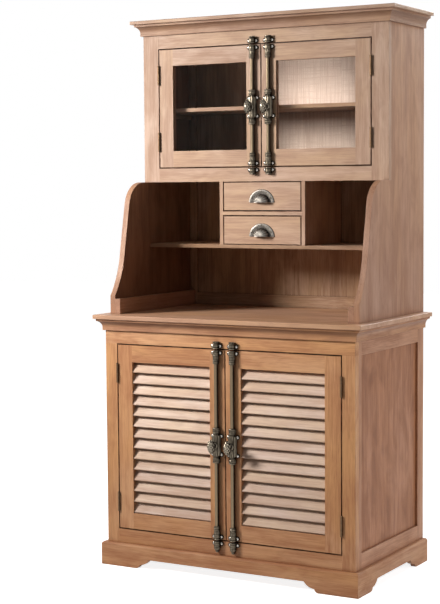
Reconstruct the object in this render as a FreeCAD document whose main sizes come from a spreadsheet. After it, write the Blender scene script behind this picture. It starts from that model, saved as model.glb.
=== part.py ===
import FreeCAD, Part
import Sketcher
import math
import os
from collections import namedtuple

# Step back cupboard: a louvred two-door base, an open niche with two small drawers and a
# glazed two-door top, set back above a worktop.  Each door carries a cremone bolt.
#
# Millimetres.  X runs to the viewer's right, Y from front to back, Z up.  The origin is on
# the floor, midway across the width and midway between the knobs and the back.

DRIVING_SIZES = {
    # whole case
    "carcass_width": 1050,
    "base_depth": 618,
    "upper_depth": 328,
    "plinth_height": 88,
    "plinth_thick": 19,
    "plinth_lap": 30,
    "base_height": 951,
    "worktop_thick": 16,
    "worktop_overhang": 36,
    "niche_height": 503,
    "upper_height": 617,
    "cap_thick": 13,
    "cap_overhang": 39,
    # boards and joints
    "side_thick": 22,
    "board_thick": 18,
    "back_frame_thick": 22,
    "panel_thick": 8,
    "panel_groove": 8,
    "panel_recess": 8,
    "tenon_length": 25,
    "side_tenon_length": 14,
    "tenon_shoulder": 12,
    "dado_depth": 6,
    "glue_gap": 0.2,
    "edge_bevel": 2,
    # plinth
    "front_foot": 158,
    "side_foot": 110,
    "arch_height": 37,
    "ogee_step_height": 14,
    "ogee_step_run": 15,
    "ogee_step_radius": 18,
    "ogee_run": 57,
    "ogee_radius": 51.3,
    "plinth_bevel": 6,
    "block_width": 45,
    # mouldings
    "base_moulding_height": 44,
    "crown_height": 45,
    "moulding_band": 9,
    "moulding_band_height": 11,
    "moulding_lip": 27,
    "moulding_lip_height": 9,
    "cove_edge": 3,
    "cove_radius": 26,
    # face frames and side frames
    "face_thick": 28,
    "base_stile": 52,
    "base_top_rail": 94,
    "base_bottom_rail": 85,
    "upper_face_thick": 22,
    "upper_stile": 69,
    "upper_top_rail": 98,
    "upper_bottom_rail": 54,
    "side_front_stile": 23,
    "side_back_stile": 55,
    "side_top_rail": 96,
    "side_bottom_rail": 88,
    "stop_lip": 8,
    "stop_gap": 0.5,
    # doors
    "door_gap": 3,
    "meeting_gap": 3,
    "lower_door_stile": 64,
    "lower_door_top_rail": 66,
    "lower_door_bottom_rail": 62,
    "upper_door_stile": 62,
    "upper_door_rail": 64,
    "louvre_count": 14,
    "slat_width": 42,
    "slat_thick": 6.5,
    "slat_tilt": 28,
    "slat_bevel": 2,
    "slat_housing": 7,
    "glass_thick": 4,
    "glass_lip": 9,
    "glass_rebate": 8,
    "glass_gap": 0.3,
    # hinges
    "hinge_height": 75,
    "lower_hinge_low_inset": 65,
    "lower_hinge_top_inset": 71,
    "upper_hinge_inset": 62,
    "leaf_thick": 1.4,
    "leaf_reach": 19,
    "knuckle_radius": 4,
    "knuckle_gap": 0.4,
    "hinge_pin_radius": 1.6,
    "hinge_pin_gap": 0.1,
    # hutch
    "scallop_front": 35,
    "scallop_end_height": 70,
    "scallop_lean": 11,
    "scallop_shoulder_front": 157,
    "scallop_shoulder_radius": 105,
    "scallop_flare_height": 236,
    "scallop_flare_radius": 357,
    "curb_thick": 22,
    "curb_height": 58,
    "back_stile": 33,
    "back_bottom_rail": 48,
    "back_top_rail": 60,
    "back_seam": 188,
    "niche_shelf_height": 247.5,
    "niche_shelf_thick": 14,
    "divider_thick": 16,
    "divider_spacing": 336,
    "dust_board_thick": 17,
    "upper_shelf_height": 274,
    "upper_shelf_thick": 14,
    "upper_shelf_setback": 18,
    "base_shelf_height": 340,
    "base_shelf_setback": 10,
    "shelf_gap": 1,
    "cleat_width": 14,
    "cleat_height": 18,
    # drawers
    "drawer_gap": 3,
    "drawer_side_gap": 2,
    "drawer_front_thick": 18,
    "drawer_side_thick": 11,
    "drawer_bottom_thick": 6,
    "drawer_bottom_rise": 7,
    "drawer_depth": 282,
    "drawer_side_height": 92,
    "drawer_groove": 6,
    "runner_gap": 0.3,
    "pull_half_width": 49,
    "pull_height": 44.5,
    "pull_reach": 25,
    "pull_bevel": 14,
    "pull_wall": 2.2,
    "pull_flange": 5.5,
    "pull_flange_thick": 2,
    "pull_drop": 24,
    # cremone bolts
    "bolt_inset": 34,
    "upper_bolt_drop": 6,
    "rod_radius": 7,
    "rod_gap": 0.3,
    "rod_behind": 1.5,
    "rod_tip_inset": 1,
    "casting_bevel": 4,
    "case_half_height": 65,
    "case_neck_half_width": 10.5,
    "case_shoulder": 46,
    "case_end_half_width": 17,
    "case_half_width": 18.5,
    "case_belly": 12,
    "case_wall": 4.2,
    "chamber_gap": 1.6,
    "chamber_half_height": 34,
    "case_lug_reach": 27,
    "case_lug_level": 39,
    "guide_length": 50,
    "guide_inset": 2,
    "keep_length": 26,
    "floor_keep_length": 42,
    "keep_inset": 1.5,
    "keep_gap": 1,
    "staple_wall": 3,
    "lug_reach": 21,
    "lug_half_height": 7,
    "lug_taper": 4,
    "lug_thick": 3,
    "gear_teeth": 14,
    "gear_thick": 5,
    "rack_clearance": 0.8,
    "tooth_half_height": 1.1,
    "tooth_root_half_width": 0.95,
    "tooth_tip_half_width": 0.5,
    "tooth_gap": 0.3,
    "rack_thick": 4,
    "rack_back": 2.6,
    "rack_reach": 20,
    "rack_foot": 6,
    "rod_start": 13,
    "spindle_width": 7,
    "spindle_hole_radius": 5.1,
    "knob_reach": 62,
    "knob_half_height": 28.5,
    "knob_half_width": 16.5,
    "knob_bevel": 10,
    "knob_neck_radius": 7,
    "knob_collar_radius": 11,
    "knob_collar_thick": 4,
    "knob_gap": 0.5,
}

BARREL_SIDES = 8            # flats round a hinge barrel
KNOB_SIDES = 12             # flats round a bolt's knob, its neck and its collar
ROD_SIDES = 16              # flats round a bolt's rod
CUP_SIDES = 10              # flats round a cup pull, from one end of its mouth to the other
RACK_TEETH_BELOW = 5        # rack teeth on the far side of the pinion's middle from the rod
RACK_TEETH_ABOVE = 1

doc = FreeCAD.newDocument("StepBackCupboard")
sheet = doc.addObject("Spreadsheet::Sheet", "Sizes")
for row, (alias, amount) in enumerate(DRIVING_SIZES.items(), start=1):
    sheet.set(f"A{row}", alias.replace("_", " "))
    sheet.set(f"B{row}", str(amount))
    sheet.setAlias(f"B{row}", alias)
doc.recompute()


# ---------------------------------------------------------------- sizes as formulas

class Size:
    """A length: its formula over the sheet's cells, and the value that it has now."""

    def __init__(self, formula, value):
        self.formula = formula
        self.value = float(value)

    def __add__(self, other):
        other = as_size(other)
        return Size(f"({self.formula} + {other.formula})", self.value + other.value)

    def __sub__(self, other):
        other = as_size(other)
        return Size(f"({self.formula} - {other.formula})", self.value - other.value)

    def __mul__(self, other):
        other = as_size(other)
        return Size(f"({self.formula} * {other.formula})", self.value * other.value)

    def __truediv__(self, other):
        other = as_size(other)
        return Size(f"({self.formula} / {other.formula})", self.value / other.value)

    def __rsub__(self, other):
        return as_size(other) - self

    def __neg__(self):
        return Size(f"(-1 * {self.formula})", -self.value)

    __radd__ = __add__
    __rmul__ = __mul__


def as_size(number):
    return number if isinstance(number, Size) else Size(repr(float(number)), number)


def sine(angle):
    return Size(f"sin({angle.formula})", math.sin(math.radians(angle.value)))


def cosine(angle):
    return Size(f"cos({angle.formula})", math.cos(math.radians(angle.value)))


def tangent(angle):
    return Size(f"tan({angle.formula})", math.tan(math.radians(angle.value)))


Sizes = namedtuple("Sizes", DRIVING_SIZES)
d = Sizes(*(Size(f"Sizes.{alias}", amount) for alias, amount in DRIVING_SIZES.items()))
zero = as_size(0)


def bind(target, path, size):
    target.setExpression(path, size.formula)


# ---------------------------------------------------------------- sketches and features

SKETCH_PLANE = {"X": "YZ_Plane", "Y": "XZ_Plane", "Z": "XY_Plane"}
Arc = namedtuple("Arc", "radius turn")        # turn +1 curves left on the way round, -1 right
Circle = namedtuple("Circle", "u v radius")
Box = namedtuple("Box", "x0 x1 y0 y1 z0 z1")


def new_body(name):
    body = doc.addObject("PartDesign::Body", name)
    body.Label = name
    body.AllowCompound = True
    return body


def origin_feature(body, role):
    return next(item for item in body.Origin.OriginFeatures if item.Role == role)


def new_sketch(body, axis, level):
    """A sketch square to the axis, at that level along it."""
    sketch = body.newObject("Sketcher::SketchObject", "Sketch")
    sketch.AttachmentSupport = [(origin_feature(body, SKETCH_PLANE[axis]), "")]
    sketch.MapMode = "FlatFace"
    along_normal = -level if axis == "Y" else level
    sketch.AttachmentOffset = FreeCAD.Placement(
        FreeCAD.Vector(0, 0, along_normal.value), FreeCAD.Rotation())
    bind(sketch, "AttachmentOffset.Base.z", along_normal)
    return sketch


def arc_curve(start, end, radius, turn):
    """The short arc from start to end, curving left for turn +1 and right for -1."""
    chord = end - start
    rise = math.sqrt(max(radius * radius - chord.Length * chord.Length / 4, 0))
    left = FreeCAD.Vector(-chord.y, chord.x, 0).normalize()
    centre = (start + end) * 0.5 + left * (rise * turn)
    first, last = (start, end) if turn > 0 else (end, start)
    angles = [math.atan2(p.y - centre.y, p.x - centre.x) for p in (first, last)]
    circle = Part.Circle(centre, FreeCAD.Vector(0, 0, 1), radius)
    return Part.ArcOfCircle(circle, angles[0], angles[1])


def draw(sketch, outline):
    """A closed outline of lines and arcs; each corner is held by its distances from the origin."""
    corners = []
    arcs = {}
    for item in outline:
        if isinstance(item, Arc):
            arcs[len(corners) - 1] = item
        else:
            corners.append((as_size(item[0]), as_size(item[1])))
    points = [FreeCAD.Vector(u.value, v.value, 0) for u, v in corners]
    count = len(corners)
    edges = []
    for i in range(count):
        start, end = points[i], points[(i + 1) % count]
        if i in arcs:
            curve = arc_curve(start, end, arcs[i].radius.value, arcs[i].turn)
            start_end = (1, 2) if arcs[i].turn > 0 else (2, 1)
        else:
            curve = Part.LineSegment(start, end)
            start_end = (1, 2)
        edges.append((sketch.addGeometry(curve), *start_end))
    limits = []
    bindings = []
    for i, (edge, start, end) in enumerate(edges):
        following = edges[(i + 1) % count]
        limits.append(Sketcher.Constraint("Coincident", edge, end, following[0], following[1]))
        for kind, size in zip(("DistanceX", "DistanceY"), corners[i]):
            bindings.append((len(limits), size))
            limits.append(Sketcher.Constraint(kind, -1, 1, edge, start, size.value))
        if i in arcs:
            bindings.append((len(limits), arcs[i].radius))
            limits.append(Sketcher.Constraint("Radius", edge, arcs[i].radius.value))
    sketch.addConstraint(limits)
    for index, size in bindings:
        bind(sketch, f"Constraints[{index}]", size)


def draw_circle(sketch, circle):
    u, v, radius = (as_size(size) for size in circle)
    centre = FreeCAD.Vector(u.value, v.value, 0)
    ring = sketch.addGeometry(Part.Circle(centre, FreeCAD.Vector(0, 0, 1), radius.value))
    sketch.addConstraint([
        Sketcher.Constraint("DistanceX", -1, 1, ring, 3, u.value),
        Sketcher.Constraint("DistanceY", -1, 1, ring, 3, v.value),
        Sketcher.Constraint("Radius", ring, radius.value)])
    for index, size in enumerate((u, v, radius)):
        bind(sketch, f"Constraints[{index}]", size)


def extrude(body, axis, outline, low, high, cut=False):
    """Pad or pocket an outline or a circle between two levels along an axis."""
    low, high = as_size(low), as_size(high)
    from_high = (axis == "Y") != cut
    sketch = new_sketch(body, axis, high if from_high else low)
    if isinstance(outline, Circle):
        draw_circle(sketch, outline)
    else:
        draw(sketch, outline)
    kind = "PartDesign::Pocket" if cut else "PartDesign::Pad"
    feature = body.newObject(kind, "Pocket" if cut else "Pad")
    feature.Profile = sketch
    feature.Length = (high - low).value
    bind(feature, "Length", high - low)
    body.Tip = feature
    return feature


def rectangle(u0, u1, v0, v1):
    return [(u0, v0), (u1, v0), (u1, v1), (u0, v1)]


def polygon(u, v, radius, sides):
    """A many-sided section whose corners lie on the radius."""
    turns = [2 * math.pi * (side + 0.5) / sides for side in range(sides)]
    return [(u + radius * math.cos(turn), v + radius * math.sin(turn)) for turn in turns]


def block(body, box, cut=False):
    return extrude(body, "Z", rectangle(box.x0, box.x1, box.y0, box.y1), box.z0, box.z1, cut)


def board(name, box, add=(), cut=()):
    """A board with square tongues added and grooves, dadoes or mortises cut."""
    body = new_body(name)
    block(body, box)
    for tongue in add:
        block(body, tongue)
    for recess in cut:
        block(body, recess, cut=True)
    return body


def repeat(body, feature, axis, spacing, count):
    """Repeat a feature along one of the body's own axes."""
    pattern = body.newObject("PartDesign::LinearPattern", "LinearPattern")
    pattern.Originals = [feature]
    pattern.Direction = (origin_feature(body, axis + "_Axis"), [""])
    pattern.Length = (spacing * (count - 1)).value
    bind(pattern, "Length", spacing * (count - 1))
    bind(pattern, "Occurrences", count)
    body.Tip = pattern
    return pattern


def bevel(body, size, chosen):
    """Chamfer the edges whose middle points pass the test."""
    doc.recompute()
    base = body.Tip
    picked = []
    for number, edge in enumerate(base.Shape.Edges, start=1):
        middle = edge.valueAt((edge.FirstParameter + edge.LastParameter) / 2)
        if chosen(middle):
            picked.append(f"Edge{number}")
    feature = body.newObject("PartDesign::Chamfer", "Chamfer")
    feature.Base = (base, picked)
    feature.Size = size.value
    bind(feature, "Size", size)
    body.Tip = feature


def hollow(body, wall, open_face):
    """Shell the body inwards, leaving out the faces whose centres pass the test."""
    doc.recompute()
    base = body.Tip
    faces = enumerate(base.Shape.Faces, start=1)
    feature = body.newObject("PartDesign::Thickness", "Thickness")
    feature.Base = (base, [f"Face{number}" for number, face in faces if open_face(face.CenterOfMass)])
    feature.Value = wall.value
    bind(feature, "Value", wall)
    feature.Reversed = True
    feature.Join = "Intersection"
    body.Tip = feature


def put(body, x, y, z, upside_down=False):
    """Place a body that was drawn about its own centre, half turned about Y if upside down."""
    turn = FreeCAD.Rotation(FreeCAD.Vector(0, 1, 0), 180 if upside_down else 0)
    body.Placement = FreeCAD.Placement(FreeCAD.Vector(x.value, y.value, z.value), turn)
    for letter, size in zip("xyz", (x, y, z)):
        bind(body, f"Placement.Base.{letter}", size)
    return body


nodes = {}


def node(name, *pieces):
    """A named sub-part of the cupboard: one body, or several separate solids together."""
    if len(pieces) == 1:
        whole = pieces[0]
    else:
        whole = doc.addObject("Part::Compound", name)
        whole.Links = list(pieces)
    whole.Label = name
    nodes[name] = whole
    return whole


def mirrored(name, source):
    """The left-hand twin of a right-hand piece."""
    twin = doc.addObject("Part::Mirroring", name)
    twin.Source = source
    twin.Normal = FreeCAD.Vector(1, 0, 0)
    twin.Base = FreeCAD.Vector(0, 0, 0)
    twin.Label = name
    return twin


def pair(name, *pieces):
    """A right-hand sub-part and its twin on the left."""
    right = node(f"{name}_right", *pieces)
    node(f"{name}_left", mirrored(f"{name}_left", right))


def near(place, size):
    return abs(place - size.value) < 0.01


# ---------------------------------------------------------------- levels and planes

half = d.carcass_width / 2
front = (d.knob_reach - d.base_depth) / 2
back = front + d.base_depth
upper_front = back - d.upper_depth

carcass_foot = d.plinth_height - d.plinth_lap
worktop_low = d.base_height
worktop_top = worktop_low + d.worktop_thick
upper_low = worktop_top + d.niche_height
cap_low = upper_low + d.upper_height
top = cap_low + d.cap_thick

side_inner = half - d.side_thick
base_face_back = front + d.face_thick
upper_face_back = upper_front + d.upper_face_thick
back_frame_front = back - d.back_frame_thick
back_panel_front = back_frame_front + d.panel_recess

base_opening_half = half - d.base_stile
base_opening_low = carcass_foot + d.base_bottom_rail
base_opening_top = worktop_low - d.base_top_rail
upper_opening_half = half - d.upper_stile
upper_opening_low = upper_low + d.upper_bottom_rail
upper_opening_top = cap_low - d.upper_top_rail

niche_shelf_low = worktop_top + d.niche_shelf_height
niche_shelf_top = niche_shelf_low + d.niche_shelf_thick
upper_floor_top = upper_opening_low + d.stop_lip
upper_floor_low = upper_floor_top - d.board_thick
base_floor_top = base_opening_low + d.stop_lip
base_floor_low = base_floor_top - d.board_thick


# ---------------------------------------------------------------- frames: stiles and rails

def frame_box(facing, across0, across1, thick0, thick1, z0, z1):
    """A box in a frame that faces the front (across is X) or the side (across is Y)."""
    if facing == "front":
        return Box(across0, across1, thick0, thick1, z0, z1)
    return Box(thick0, thick1, across0, across1, z0, z1)


def framed(name, facing, across, thick, upright, stiles, rails, reach=d.tenon_length,
           recess=None, grow=zero):
    """Two stiles and two rails.  The rails' tenons reach into mortises in the stiles.

    recess gives a groove or rebate that runs round the inside edge, as the two levels
    across the frame's thickness, and grow is its depth into each member."""
    left, right = across
    rear, face = thick
    low, high = upright
    in_left, in_right = left + stiles[0], right - stiles[1]
    in_low, in_high = low + rails[0], high - rails[1]
    tongue = [rear + (face - rear) / 3, face - (face - rear) / 3]
    slack = d.glue_gap
    recess_round = []
    if recess:
        recess_round = [frame_box(facing, in_left - grow, in_right + grow, recess[0], recess[1],
                                  in_low - grow, in_high + grow)]
    members = []
    for side, edge, outer in (("left", in_left, left), ("right", in_right, right)):
        sign = -1 if side == "left" else 1
        mortises = []
        for z0, z1 in ((low, in_low), (in_high, high)):
            ends = sorted((edge, edge + (reach + slack) * sign), key=lambda size: size.value)
            mortises.append(frame_box(facing, ends[0], ends[1], tongue[0] - slack, tongue[1] + slack,
                                      z0 + d.tenon_shoulder - slack, z1 - d.tenon_shoulder + slack))
        ends = sorted((edge, outer), key=lambda size: size.value)
        stile = board(f"{name}_{side}_stile", frame_box(facing, ends[0], ends[1], rear, face, low, high),
                      cut=mortises + recess_round)
        members.append(stile)
    for level, z0, z1 in (("bottom", low, in_low), ("top", in_high, high)):
        tenons = [frame_box(facing, in_left - reach, in_right + reach, tongue[0], tongue[1],
                            z0 + d.tenon_shoulder, z1 - d.tenon_shoulder)]
        rail = board(f"{name}_{level}_rail", frame_box(facing, in_left, in_right, rear, face, z0, z1),
                     add=tenons, cut=recess_round)
        members.append(rail)
    return members


# ---------------------------------------------------------------- plinth

def foot_profile(corner, inward, foot):
    """From a foot's inner toe up two small bellies to the arch; inward is +1 or -1 along u."""
    turn = int(inward)
    toe = corner + foot * inward
    return [(toe, zero), Arc(d.ogee_step_radius, turn),
            (toe + d.ogee_step_run * inward, d.ogee_step_height), Arc(d.ogee_radius, turn),
            (toe + d.ogee_run * inward, d.arch_height)]


def reversed_profile(profile):
    """The same profile walked the other way."""
    return [Arc(item.radius, -item.turn) if isinstance(item, Arc) else item
            for item in reversed(profile)]


def bracket_outline(low_end, high_end, low_foot, high_foot):
    """A plinth board seen square on: two bracket feet and the shallow arch between them."""
    rising = foot_profile(low_end, 1, low_foot)
    falling = reversed_profile(foot_profile(high_end, -1, high_foot))
    return ([(low_end, zero)] + rising + falling
            + [(high_end, zero), (high_end, d.plinth_height), (low_end, d.plinth_height)])


def mitre_off_front(body, sign, reach, front_plane, z0, z1):
    """Cut a front board or moulding to 45 degrees at one end."""
    corner = half * sign
    far = (half + reach) * sign
    outline = [(corner, front_plane), (far, front_plane - reach), (far, front_plane)]
    extrude(body, "Z", outline, z0, z1, cut=True)


def mitre_off_side(body, reach, front_plane, z0, z1):
    """Cut the front end of a right-hand side board or moulding to 45 degrees."""
    outline = [(half, front_plane), (half, front_plane - reach), (half + reach, front_plane - reach)]
    extrude(body, "Z", outline, z0, z1, cut=True)


def build_plinth():
    thick = d.plinth_thick
    clear = thick + 1
    outer = half + thick
    front_board = new_body("plinth_front_board")
    extrude(front_board, "Y", bracket_outline(-outer, outer, d.front_foot, d.front_foot),
            front - thick, front)
    bevel(front_board, d.plinth_bevel, lambda at: (
        near(at.z, d.plinth_height) and near(at.y, front - thick)))
    for sign in (-1, 1):
        mitre_off_front(front_board, sign, clear, front, zero, d.plinth_height)
    side_board = new_body("plinth_side_board")
    extrude(side_board, "X", bracket_outline(front - thick, back, d.side_foot, d.side_foot),
            half, outer)
    bevel(side_board, d.plinth_bevel, lambda at: (
        near(at.z, d.plinth_height) and near(at.x, outer)))
    mitre_off_side(side_board, clear, front, zero, d.plinth_height)
    back_board = new_body("plinth_back_board")
    foot = half - d.front_foot + thick
    outline = [(-half, zero), (-foot, zero), (-foot, d.arch_height), (foot, d.arch_height),
               (foot, zero), (half, zero), (half, carcass_foot), (-half, carcass_foot)]
    extrude(back_board, "Y", outline, back - thick, back)
    node("plinth", front_board, side_board, mirrored("plinth_left_board", side_board), back_board)

    width = d.block_width
    blocks = []
    for name, y0 in (("front", front), ("back", back - thick - width)):
        piece = board(f"plinth_{name}_block", Box(half - width, half, y0, y0 + width, zero, carcass_foot))
        blocks += [piece, mirrored(f"plinth_{name}_left_block", piece)]
    node("plinth_corner_blocks", *blocks)


# ---------------------------------------------------------------- base carcass

def build_base():
    # face frame: the top rail runs the full width over the stiles
    slack = d.glue_gap
    tongue = (front + d.face_thick / 3, base_face_back - d.face_thick / 3)
    stile_tongue = (base_opening_half + d.tenon_shoulder, half - d.tenon_shoulder)
    tenon_top = base_opening_top + d.tenon_length
    bottom_z = (carcass_foot + d.tenon_shoulder, base_opening_low - d.tenon_shoulder)
    stile = board(
        "base_face_stile",
        Box(base_opening_half, half, front, base_face_back, carcass_foot, base_opening_top),
        add=[Box(*stile_tongue, *tongue, base_opening_top, tenon_top)],
        cut=[Box(base_opening_half, base_opening_half + d.tenon_length + slack,
                 tongue[0] - slack, tongue[1] + slack, bottom_z[0] - slack, bottom_z[1] + slack)])
    top_mortises = []
    for inner, outer in (stile_tongue, (-stile_tongue[1], -stile_tongue[0])):
        top_mortises.append(Box(inner - slack, outer + slack, tongue[0] - slack, tongue[1] + slack,
                                base_opening_top, tenon_top + slack))
    top_rail = board("base_face_top_rail",
                     Box(-half, half, front, base_face_back, base_opening_top, worktop_low),
                     cut=top_mortises)
    bottom_rail = board(
        "base_face_bottom_rail",
        Box(-base_opening_half, base_opening_half, front, base_face_back, carcass_foot, base_opening_low),
        add=[Box(-base_opening_half - d.tenon_length, base_opening_half + d.tenon_length,
                 *tongue, *bottom_z)])
    node("base_face_frame", stile, mirrored("base_face_left_stile", stile), top_rail, bottom_rail)

    # sides: a flat panel held in grooves, set back from the frame's outer face
    groove = (half - d.panel_recess - d.panel_thick - slack, half - d.panel_recess + slack)
    members = framed("base_side", "side", (base_face_back, back), (side_inner, half),
                     (carcass_foot, worktop_low), (d.side_front_stile, d.side_back_stile),
                     (d.side_bottom_rail, d.side_top_rail), reach=d.side_tenon_length,
                     recess=groove, grow=d.panel_groove)
    floor_dado = Box(side_inner, side_inner + d.dado_depth, base_face_back, back,
                     base_floor_low - slack, base_floor_top + slack)
    back_rabbet = Box(side_inner, side_inner + d.panel_groove, back - d.panel_thick - slack, back,
                      carcass_foot, worktop_low)
    for member in members[:3]:
        block(member, floor_dado, cut=True)
    block(members[1], back_rabbet, cut=True)
    pair("base_side_frame", *members)
    inset = d.panel_groove - slack
    panel = board("base_side_panel", Box(
        half - d.panel_recess - d.panel_thick, half - d.panel_recess,
        base_face_back + d.side_front_stile - inset, back - d.side_back_stile + inset,
        carcass_foot + d.side_bottom_rail - inset, worktop_low - d.side_top_rail + inset))
    node("base_side_panels", panel, mirrored("base_side_panel_left", panel))

    # floor, back and worktop
    tongue_end = side_inner + d.dado_depth - slack
    node("base_floor", board("base_floor", Box(
        -tongue_end, tongue_end, base_face_back, back - d.panel_thick, base_floor_low, base_floor_top)))
    back_edge = side_inner + d.panel_groove - slack
    node("base_back", board("base_back", Box(
        -back_edge, back_edge, back - d.panel_thick, back, carcass_foot, worktop_low)))
    over = d.worktop_overhang
    worktop = board("worktop", Box(-half - over, half + over, front - over, back, worktop_low, worktop_top))
    bevel(worktop, d.edge_bevel, lambda at: near(at.z, worktop_top) and not near(at.y, back))
    node("worktop", worktop)


# ---------------------------------------------------------------- mouldings and cap

def moulding_profile(outward, z0, height):
    """Flat band, cove and square lip.  outward(p) gives the place p beyond the case, and
    flips the way round when it runs towards lower numbers."""
    flip = 1 if outward(as_size(1)).value > outward(zero).value else -1
    cove_low = z0 + d.moulding_band_height
    cove_high = z0 + height - d.moulding_lip_height
    return [(outward(zero), z0), (outward(d.moulding_band), z0), (outward(d.moulding_band), cove_low),
            Arc(d.cove_radius, -flip),
            (outward(d.moulding_lip - d.cove_edge), cove_high), (outward(d.moulding_lip), cove_high),
            (outward(d.moulding_lip), z0 + height), (outward(zero), z0 + height)]


def build_moulding(name, front_plane, z0, height):
    """Three mitred lengths of one moulding, round the front and both sides."""
    reach = d.moulding_lip + 1
    length = half + reach
    front_piece = new_body(f"{name}_front")
    extrude(front_piece, "X", moulding_profile(lambda p: front_plane - p, z0, height), -length, length)
    for sign in (-1, 1):
        mitre_off_front(front_piece, sign, reach, front_plane, z0, z0 + height)
    side_piece = new_body(f"{name}_side")
    extrude(side_piece, "Y", moulding_profile(lambda p: half + p, z0, height), front_plane - reach, back)
    mitre_off_side(side_piece, reach, front_plane, z0, z0 + height)
    node(name, front_piece, side_piece, mirrored(f"{name}_left_side", side_piece))


# ---------------------------------------------------------------- hutch

def hutch_side_outline():
    """The scalloped board seen from the side, walked from the bottom front corner upwards."""
    toe = front + d.scallop_front
    end_top = worktop_top + d.scallop_end_height
    lean = d.scallop_lean
    # the straight slope runs up and back to where it would meet the shoulder's level
    shoulder = front + d.scallop_shoulder_front
    radius = d.scallop_shoulder_radius
    cut_back = radius * tangent((90 - lean) / 2)
    slope_top = (shoulder - cut_back * sine(lean), upper_low - cut_back * cosine(lean))
    flare_top = worktop_top + d.scallop_flare_height
    flare_y = shoulder - (upper_low - flare_top) * tangent(lean)
    return [(toe, worktop_top), (toe, end_top), Arc(d.scallop_flare_radius, 1),
            (flare_y, flare_top), slope_top, Arc(radius, -1),
            (shoulder + cut_back, upper_low), (upper_face_back, upper_low),
            (upper_face_back, cap_low), (back, cap_low), (back, worktop_top)]


def build_hutch():
    slack = d.glue_gap
    side = new_body("hutch_side_right")
    extrude(side, "X", hutch_side_outline(), side_inner, half)
    dado = side_inner + d.dado_depth
    top_board_low = cap_low - d.board_thick
    for z0, z1, y0 in ((niche_shelf_low, niche_shelf_top, upper_front),
                       (upper_floor_low, upper_floor_top, upper_face_back),
                       (top_board_low, cap_low, upper_face_back)):
        block(side, Box(side_inner, dado, y0 - slack, back_frame_front, z0 - slack, z1 + slack), cut=True)
    pair("hutch_side", side)

    curb = board("worktop_curb", Box(
        side_inner - d.curb_thick, side_inner, front + d.scallop_front, back_frame_front,
        worktop_top, worktop_top + d.curb_height))
    node("worktop_curbs", curb, mirrored("worktop_curb_left", curb))

    members = framed("upper_face", "front", (-half, half), (upper_front, upper_face_back),
                     (upper_low, cap_low), (d.upper_stile, d.upper_stile),
                     (d.upper_bottom_rail, d.upper_top_rail))
    node("upper_face_frame", *members)

    # back: a frame with one wide panel behind the niche and three boards above it
    groove = (back_frame_front + d.panel_recess - slack,
              back_frame_front + d.panel_recess + d.panel_thick + slack)
    members = framed("hutch_back", "front", (-side_inner, side_inner), (back_frame_front, back),
                     (worktop_top, cap_low), (d.back_stile, d.back_stile),
                     (d.back_bottom_rail, d.back_top_rail), recess=groove, grow=d.panel_groove)
    node("hutch_back_frame", *members)
    inset = d.panel_groove - slack
    edge = side_inner - d.back_stile + inset
    thick = (groove[0] + slack, groove[1] - slack)
    split = niche_shelf_low + d.niche_shelf_thick / 2
    low_panel = board("niche_back_panel", Box(
        -edge, edge, *thick, worktop_top + d.back_bottom_rail - inset, split))
    high = (split + slack, cap_low - d.back_top_rail + inset)
    middle = board("upper_back_middle_board", Box(
        -d.back_seam + slack / 2, d.back_seam - slack / 2, *thick, *high))
    outer = board("upper_back_outer_board", Box(d.back_seam + slack / 2, edge, *thick, *high))
    node("hutch_back_panels", low_panel, middle, outer, mirrored("upper_back_left_board", outer))

    # shelves and floors held in the sides' dadoes, and notched round the back frame's stiles
    tongue_end = dado - slack
    between = side_inner - d.back_stile - slack
    for name, z0, z1, y0, rear in (
            ("niche_shelf", niche_shelf_low, niche_shelf_top, upper_front, back_panel_front),
            ("upper_floor", upper_floor_low, upper_floor_top, upper_face_back, back_panel_front),
            ("upper_top_board", top_board_low, cap_low, upper_face_back, back_frame_front)):
        strip = [] if rear is back_frame_front else [Box(-between, between, y0, rear, z0, z1)]
        node(name, board(name, Box(-tongue_end, tongue_end, y0, back_frame_front, z0, z1), add=strip))

    over = d.cap_overhang
    cap = board("crown_cap", Box(-half - over, half + over, upper_front - over, back, cap_low, top))
    bevel(cap, d.edge_bevel, lambda at: near(at.z, top) and not near(at.y, back))
    node("crown_cap", cap)


def build_shelves():
    """One loose shelf in each cabinet, on cleats along the sides."""
    edge = side_inner - d.shelf_gap
    cleats = []
    for name, level, thick, y0, y1 in (
            ("base_shelf", base_floor_top + d.base_shelf_height, d.board_thick,
             base_face_back + d.base_shelf_setback, back - d.panel_thick),
            ("upper_shelf", upper_low + d.upper_shelf_height, d.upper_shelf_thick,
             upper_face_back + d.upper_shelf_setback, back_frame_front)):
        node(name, board(name, Box(-edge, edge, y0, y1 - d.shelf_gap, level, level + thick)))
        cleat = board(f"{name}_cleat", Box(side_inner - d.cleat_width, side_inner,
                                           y0 + d.cleat_width, y1, level - d.cleat_height, level))
        cleats += [cleat, mirrored(f"{name}_left_cleat", cleat)]
    node("shelf_cleats", *cleats)


# ---------------------------------------------------------------- drawers

drawer_opening = (upper_low - niche_shelf_top - d.dust_board_thick) / 2
divider_inner = d.divider_spacing / 2


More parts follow.
